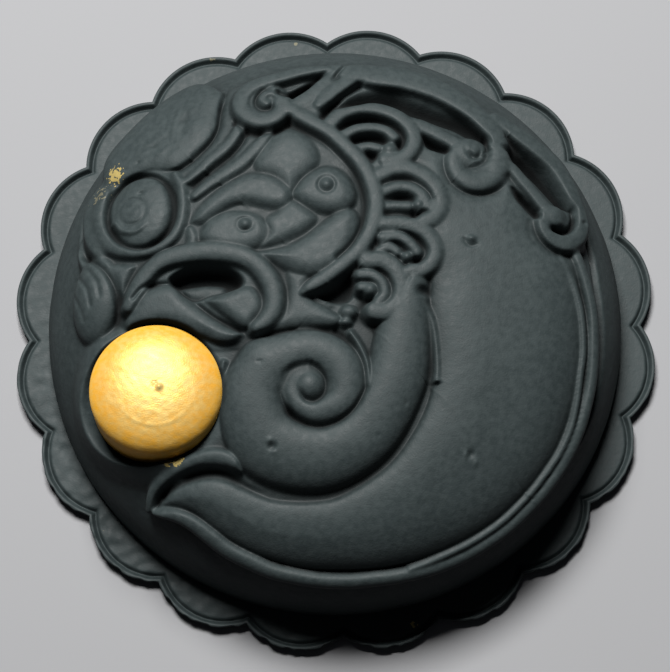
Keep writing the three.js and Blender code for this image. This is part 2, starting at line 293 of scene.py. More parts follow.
@dataclass(frozen=True)
class Ridge:
    """A raised line with a round back.

    With s the distance in half widths, its top is crest - rise (1 - sqrt(1 - s^sides)), where rise is the
    swell times the half width but never goes below the foot; past its edge it drops steeply. Where the
    line is narrower than half its greatest width the crest sinks with it, so that the ends run out.
    """

    points: Spots
    crest: float
    width: float = 0.0
    foot: float = 0.2
    sides: float = 2.4
    blend: float = 0.15
    swell: float = 0.55

    def press(self, relief: Relief) -> None:
        """Raises the relief along the line.

        Args:
            relief: what is pressed.
        """
        line = flowing(thirds(self.points, self.width))
        line[:, 2] = np.maximum(line[:, 2], THINNEST)
        widest = line[:, 2].max()
        places = relief.near(line, widest + PAST_RIDGE)
        away, width, _ = relief.measure(places, line)
        high = (self.crest - self.foot) * np.clip(2 * width / widest, 0, 1) ** 0.5
        fall = np.minimum(high, self.swell * width)
        top = self.foot + high - fall * (1 - rounded(away / width, self.sides))
        top -= SIDE * np.clip(away - width, 0, None)
        relief.raise_to(places, top, self.blend)


@dataclass(frozen=True)
class Groove:
    """A cut beside or along a line, as deep as its depth, wider to one side where left and right differ."""

    points: Spots
    depth: float
    left: float
    right: Optional[float] = None
    cut: Cut = Cut.CHANNEL
    closed: bool = False
    taper: float = 0.0

    def press(self, relief: Relief) -> None:
        """Lowers the relief by depth (1 - s)^2 for a crease, or by depth (1 - s^2)^2 for a channel.

        Depth goes with the line's strength, and the width with the strength to the power of the taper.

        Args:
            relief: what is pressed.
        """
        right = self.left if self.right is None else self.right
        line = flowing(thirds(self.points, 1.0), closed=self.closed)
        places = relief.near(line, max(self.left, right))
        away, strength, side = relief.measure(places, line)
        strength = np.clip(strength, FAINTEST, 1)
        share = np.clip(away / (np.where(side > 0, self.left, right) * strength**self.taper), 0, 1)
        shape = (1 - share) ** 2 if self.cut is Cut.CREASE else (1 - share**2) ** 2
        relief.height[places] -= self.depth * strength * shape


@dataclass(frozen=True)
class Boss:
    """A raised oval: foot + (crest - foot) sqrt(1 - q^sides), q the distance in radii."""

    centre: tuple[float, float]
    radii: tuple[float, float]
    crest: float
    turn: float = 0.0
    foot: float = 0.2
    sides: float = 2.0
    blend: float = 0.15

    def share(self, relief: Relief, places: np.ndarray) -> np.ndarray:
        """Gives q, the distance from the centre in radii, measured along the dome's slope.

        Args:
            relief: what is pressed.
            places: numbers of the grid places.

        Returns:
            One value a place.
        """
        middle = relief.dome.lift(np.array([self.centre]))
        up = relief.dome.outward(middle)[0]
        east = np.cross((0.0, 1.0, 0.0), up)
        east /= np.linalg.norm(east)
        gap = relief.spots[places] - middle
        a, b = gap @ east, gap @ np.cross(up, east)
        c, s = math.cos(math.radians(self.turn)), math.sin(math.radians(self.turn))
        return np.hypot((a * c + b * s) / self.radii[0], (b * c - a * s) / self.radii[1])

    def press(self, relief: Relief) -> None:
        """Raises the relief over the oval.

        Args:
            relief: what is pressed.
        """
        places = relief.near(np.array([self.centre]), max(self.radii) + PAST_RIDGE)
        share = self.share(relief, places)
        top = self.foot + (self.crest - self.foot) * rounded(share, self.sides)
        top -= SIDE * min(self.radii) * np.clip(share - 1, 0, None)
        relief.raise_to(places, top, self.blend)


@dataclass(frozen=True)
class Dimple(Boss):
    """A small pit, or a bump where its crest is positive: crest (1 - q^2)^2 added to what is there."""

    def press(self, relief: Relief) -> None:
        """Adds the pit or the bump.

        Args:
            relief: what is pressed.
        """
        places = relief.near(np.array([self.centre]), max(self.radii) + PAST_DIMPLE)
        share = np.clip(self.share(relief, places), 0, 1)
        relief.height[places] += self.crest * (1 - share**2) ** 2


@dataclass(frozen=True)
class Plate:
    """A raised leaf: foot + (crest - foot) sqrt(1 - (1 - d / shoulder)^2), d in from its outline."""

    outline: Spots
    crest: float
    shoulder: float
    foot: float = 0.2
    blend: float = 0.15
    grow: float = 0.0

    def depth(self, relief: Relief, places: np.ndarray) -> np.ndarray:
        """Gives the distance in from the outline, which is grown a little, and less than 0 outside it.

        A place is inside where a ray from it crosses an odd number of the outline's sides.

        Args:
            relief: what is pressed.
            places: numbers of the grid places.

        Returns:
            One distance a place.
        """
        line = flowing(thirds(self.outline, 1.0), step=OUTLINE_STEP, closed=True)
        away, _, _ = relief.measure(places, line)
        x, y = relief.spots[places, 0, None], relief.spots[places, 1, None]
        x0, y0, x1, y1 = line[:-1, 0], line[:-1, 1], line[1:, 0], line[1:, 1]
        rise = np.where(y1 == y0, TINY, y1 - y0)
        crossed = ((y0 > y) != (y1 > y)) & (x < x0 + (y - y0) * (x1 - x0) / rise)
        return np.where(crossed.sum(axis=1) % 2 == 1, away, -away) + self.grow

    def press(self, relief: Relief) -> None:
        """Raises the relief inside the outline.

        Args:
            relief: what is pressed.
        """
        places = relief.near(np.array(self.outline), PAST_PLATE)
        depth = self.depth(relief, places)
        share = np.clip(depth / self.shoulder, 0, 1)
        top = self.foot + (self.crest - self.foot) * np.sqrt(1 - (1 - share) ** 2)
        top -= SIDE * np.clip(-depth, 0, None)
        relief.raise_to(places, top, self.blend)


@dataclass(frozen=True)
class Hollow(Plate):
    """A hole inside an outline, down to the crest's level, with walls as wide as its shoulder."""

    def press(self, relief: Relief) -> None:
        """Cuts the relief down inside the outline, to foot + (crest - foot) (1 - (1 - d / shoulder)^2).

        Args:
            relief: what is pressed.
        """
        places = relief.near(np.array(self.outline), PAST_PLATE)
        depth = self.depth(relief, places)
        share = np.clip(depth / self.shoulder, 0, 1)
        floor = self.foot + (self.crest - self.foot) * (1 - (1 - share) ** 2)
        floor += WALL * np.clip(-depth, 0, None)
        relief.height[places] = -soft_max(-relief.height[places], -floor, self.blend)


@dataclass(frozen=True)
class Rough(Boss):
    """Coarse, pitted skin over an oval: waves of the crest's height, fading out to its edge."""

    size: float = 0.7
    seed: int = 1

    def press(self, relief: Relief) -> None:
        """Adds the unevenness, times 1 - q^2.

        Args:
            relief: what is pressed.
        """
        places = relief.near(np.array([self.centre]), max(self.radii))
        fade = np.clip(1 - self.share(relief, places) ** 2, 0, 1)
        relief.height[places] += self.crest * fade * waves(relief.spots[places], self.size, self.seed)


Mark = Ridge | Groove | Boss | Plate


# ---------------------------------------------------------------- the dragon


@dataclass
class Belly:
    """The broad smooth body that sweeps round the right and the bottom, with its rim and its fin."""

    level: float = 2.0
    shoulder: float = 6.0
    edge: Spots = (
        (-20.6, -23.6), (-20.6, -23.6), (-19.0, -22.2), (-17.3, -21.4), (-14.9, -21), (-12.6, -21.3),
        (-10.2, -22.4), (-7, -23.6), (-3.1, -23.9), (0.4, -23.4), (4.5, -21.2), (7.2, -18.9), (9.6, -15.4),
        (11, -12.2), (11.6, -8.6), (11.4, -4.6), (11, -1.4), (10.8, 1.6), (8, 4), (8.5, 12), (8, 17),
        (10.5, 19.0), (12, 19.0), (14, 18.4), (17, 14), (20.6, 16), (22.4, 13), (24.6, 9), (28.0, 6),
        (28.5, 2), (28.9, -2.5), (28.8, -7), (28.2, -10.4), (26.4, -16), (24.9, -18.8), (22.5, -22),
        (19.5, -25), (15.9, -27.5), (11.8, -29.4), (8.2, -30.4), (3.8, -31.1), (-2.7, -31.1), (-6.5, -30.3),
        (-9.4, -29.3), (-12, -27.9), (-14.3, -26.2), (-16.1, -24.7), (-18.2, -24),
    )
    rim: Spots = (
        (-20.8, -24.2, 0.4), (-18.2, -24.8, 0.9), (-16.4, -25.7, 1.1), (-14.4, -27.2, 1.2),
        (-12.4, -28.7, 1.2), (-9.6, -30.1, 1.2), (-6.8, -31.2, 1.15), (-2.6, -32.0, 1.1), (1, -32.2, 1.1),
        (4, -32.0, 1.1), (7.5, -31.5, 1.05), (11.5, -30.5, 1.0), (15.4, -28.8, 1.0), (19.3, -26.3, 0.95),
        (22.2, -23.7, 0.95), (24.6, -21, 0.95), (26.7, -17.9, 0.95), (28.3, -14.5, 0.9), (29.2, -11.6, 0.9),
        (29.8, -8.8, 0.9), (30.1, -5, 0.9), (30.0, -1, 0.85), (29.4, 2.1, 0.85), (28.7, 4.4, 0.8),
        (27.8, 6.6, 0.8),
    )
    strip: Spots = (
        (8.5, -30.7, 0.2), (11.4, -29.7, 0.4), (15.4, -27.8, 0.42), (18.9, -25.5, 0.42), (21.8, -22.8, 0.42),
        (23.9, -20.3, 0.42), (26.0, -17.2, 0.42), (27.3, -14.3, 0.42), (28.0, -11.4, 0.42),
        (28.4, -8.6, 0.42), (28.8, -5.2, 0.42), (28.6, -1.5, 0.42), (28.0, 1.2, 0.42), (27.2, 3.4, 0.42),
        (26.2, 5.4, 0.4),
    )
    fin: Spots = (
        (-21.6, -23.9, 0.45), (-21.1, -22.2, 0.6), (-19.9, -20.9, 0.65), (-18.1, -19.8, 0.7),
        (-15.9, -19.0, 0.85), (-13.9, -18.8, 1.05), (-12.2, -19.2, 0.9), (-10.8, -20.4, 0.15),
    )
    rim_outside: Spots = (
        (30.4, 9.0, 0), (30.9, 7.0, 0.8), (31.2, 4, 1), (31.7, 1, 1), (32.1, -3, 1), (31.9, -7, 1),
        (31.1, -11, 1), (29.5, -15, 0.8), (27, -19, 0.3),
    )
    fin_inside: Spots = (
        (-20.0, -22.6, 1), (-18.7, -21.3, 1), (-16.6, -20.4, 1), (-14, -20.1, 1), (-12, -20.7, 1),
        (-9.6, -22.1, 0.6), (-7.5, -22.9, 0.0),
    )

    def marks(self) -> list[Mark]:
        """Lists the body's marks, from the belly up.

        Returns:
            The marks, in the order in which they are pressed.
        """
        return [
            Plate(self.edge, crest=self.level, shoulder=self.shoulder, foot=0.3),
            Ridge(self.rim, crest=2.0, foot=0.3, sides=2.2, swell=1.0),
            Ridge(self.strip, crest=1.75, foot=1.0),
            Groove(self.rim_outside, depth=0.9, left=1.0),
            Ridge(self.fin, crest=1.6, foot=0.4, sides=2.4, swell=0.9),
            Groove(self.fin_inside, depth=0.7, left=0.35, right=0.9, cut=Cut.CREASE),
        ]


@dataclass
class TailCoil:
    """The tail, rolled up in a spiral that ends in a ball."""

    level: float = 2.55
    tube: Spots = (
        (8.6, 1, 2.4), (8.3, -2, 2.8), (7.8, -6, 3.4), (6.9, -10.6, 3.6), (3.6, -16.4, 3.6), (-2, -19.1, 3.9),
        (-8.0, -17.3, 4.1), (-9.6, -12.2, 3.7), (-8.1, -8.6, 3.4), (-3.2, -7.0, 2.6), (0.2, -8.3, 2.5),
        (1.3, -10.9, 2.3), (0.5, -13.2, 1.9), (-2.3, -14.2, 1.4), (-4.5, -12.9, 1.05), (-4.9, -11.4, 0.9),
        (-4.2, -10.2, 0.9), (-3.2, -10.0, 0.9),
    )
    outer: int = 9
    ball: tuple[float, float] = (-3.0, -11.2)
    ball_radius: float = 1.7
    turn_crease: Spots = (
        (-5.8, -12.2), (-5.4, -13.9), (-4.1, -15.1), (-2, -15.8), (0, -15.4), (1.9, -14.1), (3.1, -12.4),
        (3.7, -10.7), (3.5, -8.6), (2.7, -6.9), (1.4, -5.5), (0, -4.6),
    )
    ball_crease: Spots = (
        (-4.0, -11.9, 0.4), (-3.4, -12.8, 1), (-2.4, -13.0, 1), (-1.5, -12.4, 1), (-1.1, -11.4, 1),
        (-1.2, -10.3, 1), (-1.8, -9.5, 0.8), (-2.7, -8.9, 0.4),
    )
    inner_edge: Spots = ((1.8, -5.0), (2.8, -6.5), (3.7, -8.6), (3.95, -11.1))
    outer_edge: Spots = ((10.4, -1.2), (11.3, -3.5), (11.7, -6.3), (11.8, -8.8), (11.7, -10.2))
    pearl_edge: Spots = ((-12.9, -8.0), (-13.3, -10.4), (-13.2, -12.8))

    def marks(self) -> list[Mark]:
        """Lists the coil's marks: the wide turn, the narrow turn that ends it, the ball and the thin edges.

        Returns:
            The marks, in the order in which they are pressed.
        """
        wide, narrow = (self.tube[:self.outer], self.tube[self.outer - 1:])
        return [
            Ridge(wide, crest=self.level, foot=0.0, sides=2.2, swell=1.0),
            Ridge(narrow, crest=self.level, foot=0.0, sides=2.2, swell=0.9),
            Groove(self.turn_crease, depth=0.7, left=0.4, right=0.6, cut=Cut.CREASE),
            Boss(self.ball, (3.3, 3.3), crest=1.7, foot=1.3, blend=0.4),
            Boss(self.ball, (self.ball_radius,) * 2, crest=self.level, foot=1.0),
            Groove(self.ball_crease, depth=0.9, left=0.45, cut=Cut.CREASE),
            Ridge(self.inner_edge, crest=1.9, width=0.2, foot=1.2),
            Ridge(self.outer_edge, crest=1.5, width=0.24, foot=0.8),
            Boss((11.75, -10.4), (0.38, 0.34), crest=2.0, foot=0.8),
            Ridge(self.pearl_edge, crest=1.0, width=0.2, foot=0.2),
            Dimple((-7.2, -18.1), (0.8, 0.55), crest=-0.5, turn=15),
            Dimple((-7.5, -17.5), (0.6, 0.35), crest=0.3, turn=15),
            Dimple((-7.0, -18.8), (0.5, 0.3), crest=0.2),
            Dimple((-8.7, -8.5), (0.4, 0.22), crest=-0.3, turn=40),
            Dimple((8.2, -13.2), (0.4, 0.3), crest=-0.22),
            Dimple((5.0, -16.9), (0.4, 0.3), crest=-0.15),
        ]


@dataclass
class Eye:
    """The round eyeball in its ring, with the brow over it."""

    centre: tuple[float, float] = (-22.6, 10.6)
    radii: tuple[float, float] = (3.6, 4.4)
    pupil: tuple[float, float] = (-23.6, 10.5)
    lid: Spots = (
        (-18.7, 14.9, 0.45), (-18.0, 13.2, 0.6), (-17.8, 10.8, 0.65), (-18.1, 8.6, 0.65), (-19.0, 6.9, 0.65),
        (-20.6, 5.8, 0.65), (-22.6, 5.4, 0.7), (-24.8, 5.9, 0.9), (-26.5, 7.2, 1.1), (-27.5, 9.3, 1.2),
        (-27.6, 11.5, 1.15), (-26.9, 13.4, 0.9),
    )
    brow: Spots = (
        (-12.9, 27.4, 0.0), (-13.1, 25.6, 0.7), (-13.5, 23.2, 1.0), (-13.8, 20.8, 1.0), (-14.6, 19.1, 1.0),
        (-15.8, 17.7, 1.0), (-17.1, 16.5, 1.0), (-18.4, 15.7, 1.0), (-19.8, 15.5, 1.0), (-21.6, 15.7, 1.0),
        (-23.6, 15.3, 0.8), (-25.4, 14.6, 0.4),
    )
    brow_back: Spots = ((-27.4, 15.0, 1), (-27.5, 18.5, 1), (-24.5, 22.6, 1), (-20, 26.6, 1), (-16, 28.2, 1))
    lid_outside: Spots = (
        (-29.6, 15.5, 0), (-30.1, 13.2, 0.6), (-30.2, 10.7, 1), (-29.9, 8.1, 1), (-29.1, 6.1, 1),
        (-27.8, 4.4, 0.7),
    )
    pupil_arc: Spots = ((-25.6, 9.3), (-24.7, 8.2), (-23.2, 7.9), (-22.1, 8.7))
    eye_line: Spots = ((-22.2, 11.6), (-20.4, 11.4), (-18.9, 11.5))

    def marks(self) -> list[Mark]:
        """Lists the marks of the eye and the brow.

        Returns:
            The marks, in the order in which they are pressed.
        """
        x, y = self.pupil
        return [
            Plate((*self.brow[1:], *self.brow_back), crest=2.0, shoulder=2.6, foot=0.7, blend=0.4),
            Groove(self.brow, depth=1.0, left=0.9, right=0.4, cut=Cut.CREASE),
            Rough((-20.3, 20.0), (7.5, 3.4), crest=0.05, turn=48, size=0.8, seed=3),
            Rough((-18.5, 20.5), (6.0, 2.2), crest=0.13, turn=50, size=2.4, seed=4),
            Dimple((-23.0, 16.9), (0.35, 0.35), crest=-0.35),
            Boss(self.centre, (5.7, 6.3), crest=1.35, foot=0.5, sides=4, blend=0.5),
            Boss((-28.0, 9.8), (3.2, 6.2), crest=1.9, foot=0.6, sides=3, blend=0.6),
            Ridge(self.lid, crest=2.15, foot=1.0, sides=2.2, swell=0.8),
            Groove(self.lid_outside, depth=1.5, left=0.9, right=1.2),
            Rough((-27.2, 9.6), (1.4, 4.5), crest=0.05, size=0.8, seed=6),
            Groove(circle(*self.centre, 3.9, 4.65), depth=1.3, left=0.55, closed=True),
            Boss(self.centre, self.radii, crest=2.25, foot=1.1, sides=2.6),
            Groove(circle(x, y, 1.5, 1.6), depth=0.25, left=0.24, closed=True),
            Rough(self.pupil, (1.5, 1.5), crest=0.09, size=0.7, seed=5),
            Ridge(self.pupil_arc, crest=2.35, width=0.3, foot=2.0),
            Dimple((-22.6, 12.7), (0.45, 0.4), crest=-0.5),
            Groove(self.eye_line, depth=0.07, left=0.14),
            Rough((-21.5, 10), (3.2, 4), crest=0.03, size=0.9, seed=8),
        ]


@dataclass
class Muzzle:
    """The nose, the mouth that holds the pearl, and the chin."""

    lip_level: float = 2.55
    lip: Spots = (
        (-23.9, -1.2, 0.7), (-23.2, 0.4, 0.95), (-22.2, 2.1, 1.0), (-20.8, 3.6, 1.0), (-19.1, 4.4, 1.1),
        (-16.9, 4.8, 1.2), (-14.6, 4.9, 1.25), (-12.2, 4.6, 1.25), (-10.2, 3.9, 1.2), (-8.7, 2.7, 1.2),
        (-7.6, 1.1, 1.2), (-7.1, -0.6, 1.2), (-7.2, -2.3, 1.15), (-8, -3.6, 1.0), (-9.2, -4.5, 0.6),
    )
    hollow: Spots = (
        (-19.5, 2.0), (-18.0, 3.1), (-16.1, 3.6), (-13.7, 3.5), (-11.7, 2.8), (-10.6, 1.6), (-10.9, 0.6),
        (-13.1, -0.2), (-14.5, -0.5), (-16, -1.0), (-17.2, -0.5), (-18.6, 0.6),
    )
    snout_inside: Spots = (
        (-29.6, 6.2, 0.3), (-28.2, 5.0, 1), (-26.7, 3.5, 1), (-25.6, 1.4, 1), (-25.2, -1.2, 1),
        (-25.6, -3.6, 0.6),
    )
    long_flake: Spots = ((-29.8, 3.2), (-28.7, 1.6), (-28.2, -0.6))
    middle_flake: Spots = ((-28.6, 3.9), (-27.6, 2.2), (-27.2, 0.4))
    short_flake: Spots = ((-30.2, 1.0), (-29.4, -0.7), (-29.0, -2.2))
    muzzle_leaf: Spots = (
        (-26.9, 4.5), (-26.9, 4.5), (-24.8, 4.3), (-22.9, 4.0), (-22.9, 4.0), (-23.9, 2.2), (-24.6, 0.0),
        (-24.6, 0.0), (-25.4, 2.0),
    )
    jaw_leaf: Spots = (
        (-5.9, 2.6), (-4.2, 2.6), (-2.7, 2.2), (-3.1, 0.6), (-2.8, -0.8), (-1.2, -1.8), (0.6, -2.9),
        (0.6, -2.9), (0.1, -4.1), (-4.2, -4.3), (-7.1, -4.8), (-9.8, -5.2), (-8.2, -4.0), (-6.4, -2.6),
        (-5.6, 0),
    )
    tongue: Spots = (
        (-18.4, 1.0), (-16.5, 1.4), (-14.4, 1.5), (-12.7, 1.1), (-12.9, -0.3), (-14.8, -0.9), (-17.4, -0.4),
    )
    lip_curl: Spots = (
        (-15.1, -0.9), (-15.1, -0.9), (-13.4, -0.3), (-11.7, 0.3), (-10, 0.7), (-8.8, -0.2), (-8.3, -1.8),
        (-9.1, -3.4), (-10.4, -4.4), (-12.2, -3.3), (-13.7, -2.1),
    )
    chin: Spots = (
        (-24.2, -3.4), (-23.6, -1.0), (-22.4, 0.5), (-20.7, 1.1), (-18.8, 1.0), (-17.3, -0.6), (-15.7, -1.9),
        (-14, -3.2), (-12.2, -4.3), (-10.7, -4.9), (-10.7, -4.9), (-11.6, -5.8), (-13.4, -5.9), (-15.1, -5.2),
        (-17.4, -4.2), (-20, -3.3), (-22, -3.6),
    )
    chin_line: Spots = (
        (-23.4, -0.3), (-22.3, 0.9), (-20.7, 1.5), (-18.7, 1.3), (-17.0, -0.3), (-15.5, -1.6), (-13.8, -2.9),
        (-11, -4.5),
    )

    def marks(self) -> list[Mark]:
        """Lists the marks of the nose and the mouth.

        Returns:
            The marks, in the order in which they are pressed.
        """
        crease = Cut.CREASE
        return [
            Boss((-28.0, 0.6), (3.5, 5.4), crest=2.7, turn=-6, foot=0.2, blend=0.4),
            Groove(self.snout_inside, depth=1.2, left=0.9, right=0.5, cut=crease),
            Groove(self.long_flake, depth=0.32, left=0.4),
            Groove(self.middle_flake, depth=0.3, left=0.35),
            Groove(self.short_flake, depth=0.22, left=0.35),
            Plate(self.muzzle_leaf, crest=1.7, shoulder=1.0, foot=0.6),
            Plate(self.jaw_leaf, crest=1.6, shoulder=1.6, foot=0.5),
            Ridge(self.lip, crest=self.lip_level, foot=0.9, sides=2.2, swell=0.75),
            Hollow(self.hollow, crest=-2.2, shoulder=1.2, foot=1.7),
            Plate(self.tongue, crest=-0.4, shoulder=1.0, foot=-1.6, blend=0.5),
            Plate(self.lip_curl, crest=2.1, shoulder=1.3, foot=0.7),
            Plate(self.chin, crest=2.0, shoulder=1.6, foot=0.7),
            Groove(self.chin_line, depth=0.8, left=0.35, right=0.45, cut=crease),
        ]


@dataclass
class Cheek:
    """The flame-shaped leaves that cover the cheek, and the strands that run down from the crest."""

    level: float = 2.15
    first_strand: Spots = (
        (-10.8, 22.6, 0.4), (-11.0, 21.1, 0.6), (-11.8, 19.4, 0.65), (-12.9, 17.9, 0.7), (-14.4, 16.6, 0.7),
        (-15.9, 15.1, 0.6), (-17.3, 13.9, 0.4),
    )
    strand_gap: Spots = (
        (-10.1, 20.6), (-11.0, 18.6), (-12.2, 17.1), (-13.7, 15.8), (-15.3, 14.5), (-16.6, 13.3),
    )
    second_strand: Spots = (
        (-7.6, 20.3, 0.4), (-8.4, 18.9, 0.65), (-9.4, 17.6, 0.75), (-10.8, 16.1, 0.8), (-12.5, 14.8, 0.75),
        (-14.5, 13.5, 0.65), (-16.4, 11.9, 0.45),
    )
    top_leaf: Spots = (
        (-9.6, 15.9), (-8.8, 18), (-7.4, 19.4), (-5.8, 20.3), (-3.9, 19.7), (-2.4, 18.1), (-1.9, 16.1),
        (-3.0, 14.6), (-4.1, 13.5), (-5.1, 11.8), (-5.1, 11.8), (-6.2, 12.9), (-7.5, 14.1), (-9, 14.7),
    )
    middle_leaf: Spots = (
        (-8.2, 8.7), (-6.6, 10.1), (-5.2, 11.1), (-3.9, 10.6), (-2.2, 8.9), (-3.4, 7.4), (-5.4, 6.3),
        (-7.3, 5.6), (-8.8, 5.4), (-8.0, 7.1),
    )
    swept_leaf: Spots = (
        (-16.8, 8.7), (-16.8, 8.7), (-16.0, 10.3), (-14.4, 12.0), (-12.6, 13.4), (-10.5, 14.4), (-8.4, 14.5),
        (-6.5, 13.8), (-5.1, 12.3), (-5.2, 10.9), (-6.2, 10.1), (-7.7, 10.2), (-9.6, 10.7), (-11.1, 10.8),
        (-12.6, 10.3), (-14.1, 9.3), (-15.5, 8.4),
    )
    front_leaf: Spots = (
        (-15.8, 6.8), (-15.1, 8.6), (-13.3, 9.7), (-11.1, 9.9), (-9.1, 9.4), (-7.9, 8.1), (-7.9, 6.4),
        (-9.2, 5.3), (-11, 4.9), (-13.3, 5.1), (-14.9, 5.8),
    )
    back_leaf: Spots = (
        (-5.1, 11.9), (-5.1, 11.9), (-3.9, 13.7), (-2.4, 14.9), (-0.8, 15.3), (0.9, 14.6), (2.1, 12.9),
        (2.3, 11.2), (1.3, 10.0), (-0.5, 9.5), (-2.4, 9.9), (-4.0, 10.8),
    )
    low_leaf: Spots = (
        (-10.2, 4.7), (-10.2, 4.7), (-7.7, 5.0), (-5.8, 5.4), (-3.9, 6.4), (-2.4, 7.5), (-0.9, 8.8),
        (0.6, 9.8), (2.0, 9.9), (2.8, 8.7), (2.6, 6.6), (1.8, 4.6), (0.4, 2.9), (-1.6, 1.9), (-3.6, 1.8),
        (-5.4, 2.4), (-7.3, 3.5),
    )
    small_strand: Spots = ((-16.9, 7.8, 0.4), (-16.6, 6.8, 0.6), (-16.8, 5.9, 0.5))

    def marks(self) -> list[Mark]:
        """Lists the marks of the strands and the leaves, those behind first.

        Returns:
            The marks, in the order in which they are pressed.
        """
        crease = Cut.CREASE
        return [
            Ridge(self.first_strand, crest=2.0, foot=1.1, blend=0.3),
            Groove(self.strand_gap, depth=0.9, left=0.6, right=0.45, cut=crease),
            Ridge(self.second_strand, crest=2.0, foot=1.1, blend=0.3),
            self.leaf(self.top_leaf, self.level, 2.4),
            self.leaf(self.middle_leaf, 1.95, 1.5),
            self.leaf(self.swept_leaf, 2.25, 1.5),
            self.leaf(self.front_leaf, 2.2, 1.7),
            self.leaf(self.back_leaf, 2.3, 1.9),
            self.leaf(self.low_leaf, 2.45, 2.1),
            Groove(circle(-10.5, 8.1, 0.85), depth=0.35, left=0.28, closed=True),
            Boss((-10.5, 8.1), (0.65, 0.65), crest=2.65, foot=2.0),
            Groove(circle(-1.0, 12.9, 0.95), depth=0.35, left=0.3, closed=True),
            Boss((-1.0, 12.9), (0.65, 0.65), crest=2.75, foot=2.1),
            Ridge(self.small_strand, crest=1.7, foot=0.9),
        ]

    @staticmethod
    def leaf(outline: Spots, crest: float, shoulder: float) -> Plate:
        """Gives one smooth leaf of the cheek."""
        return Plate(outline, crest=crest, shoulder=shoulder, foot=0.4, grow=0.2)


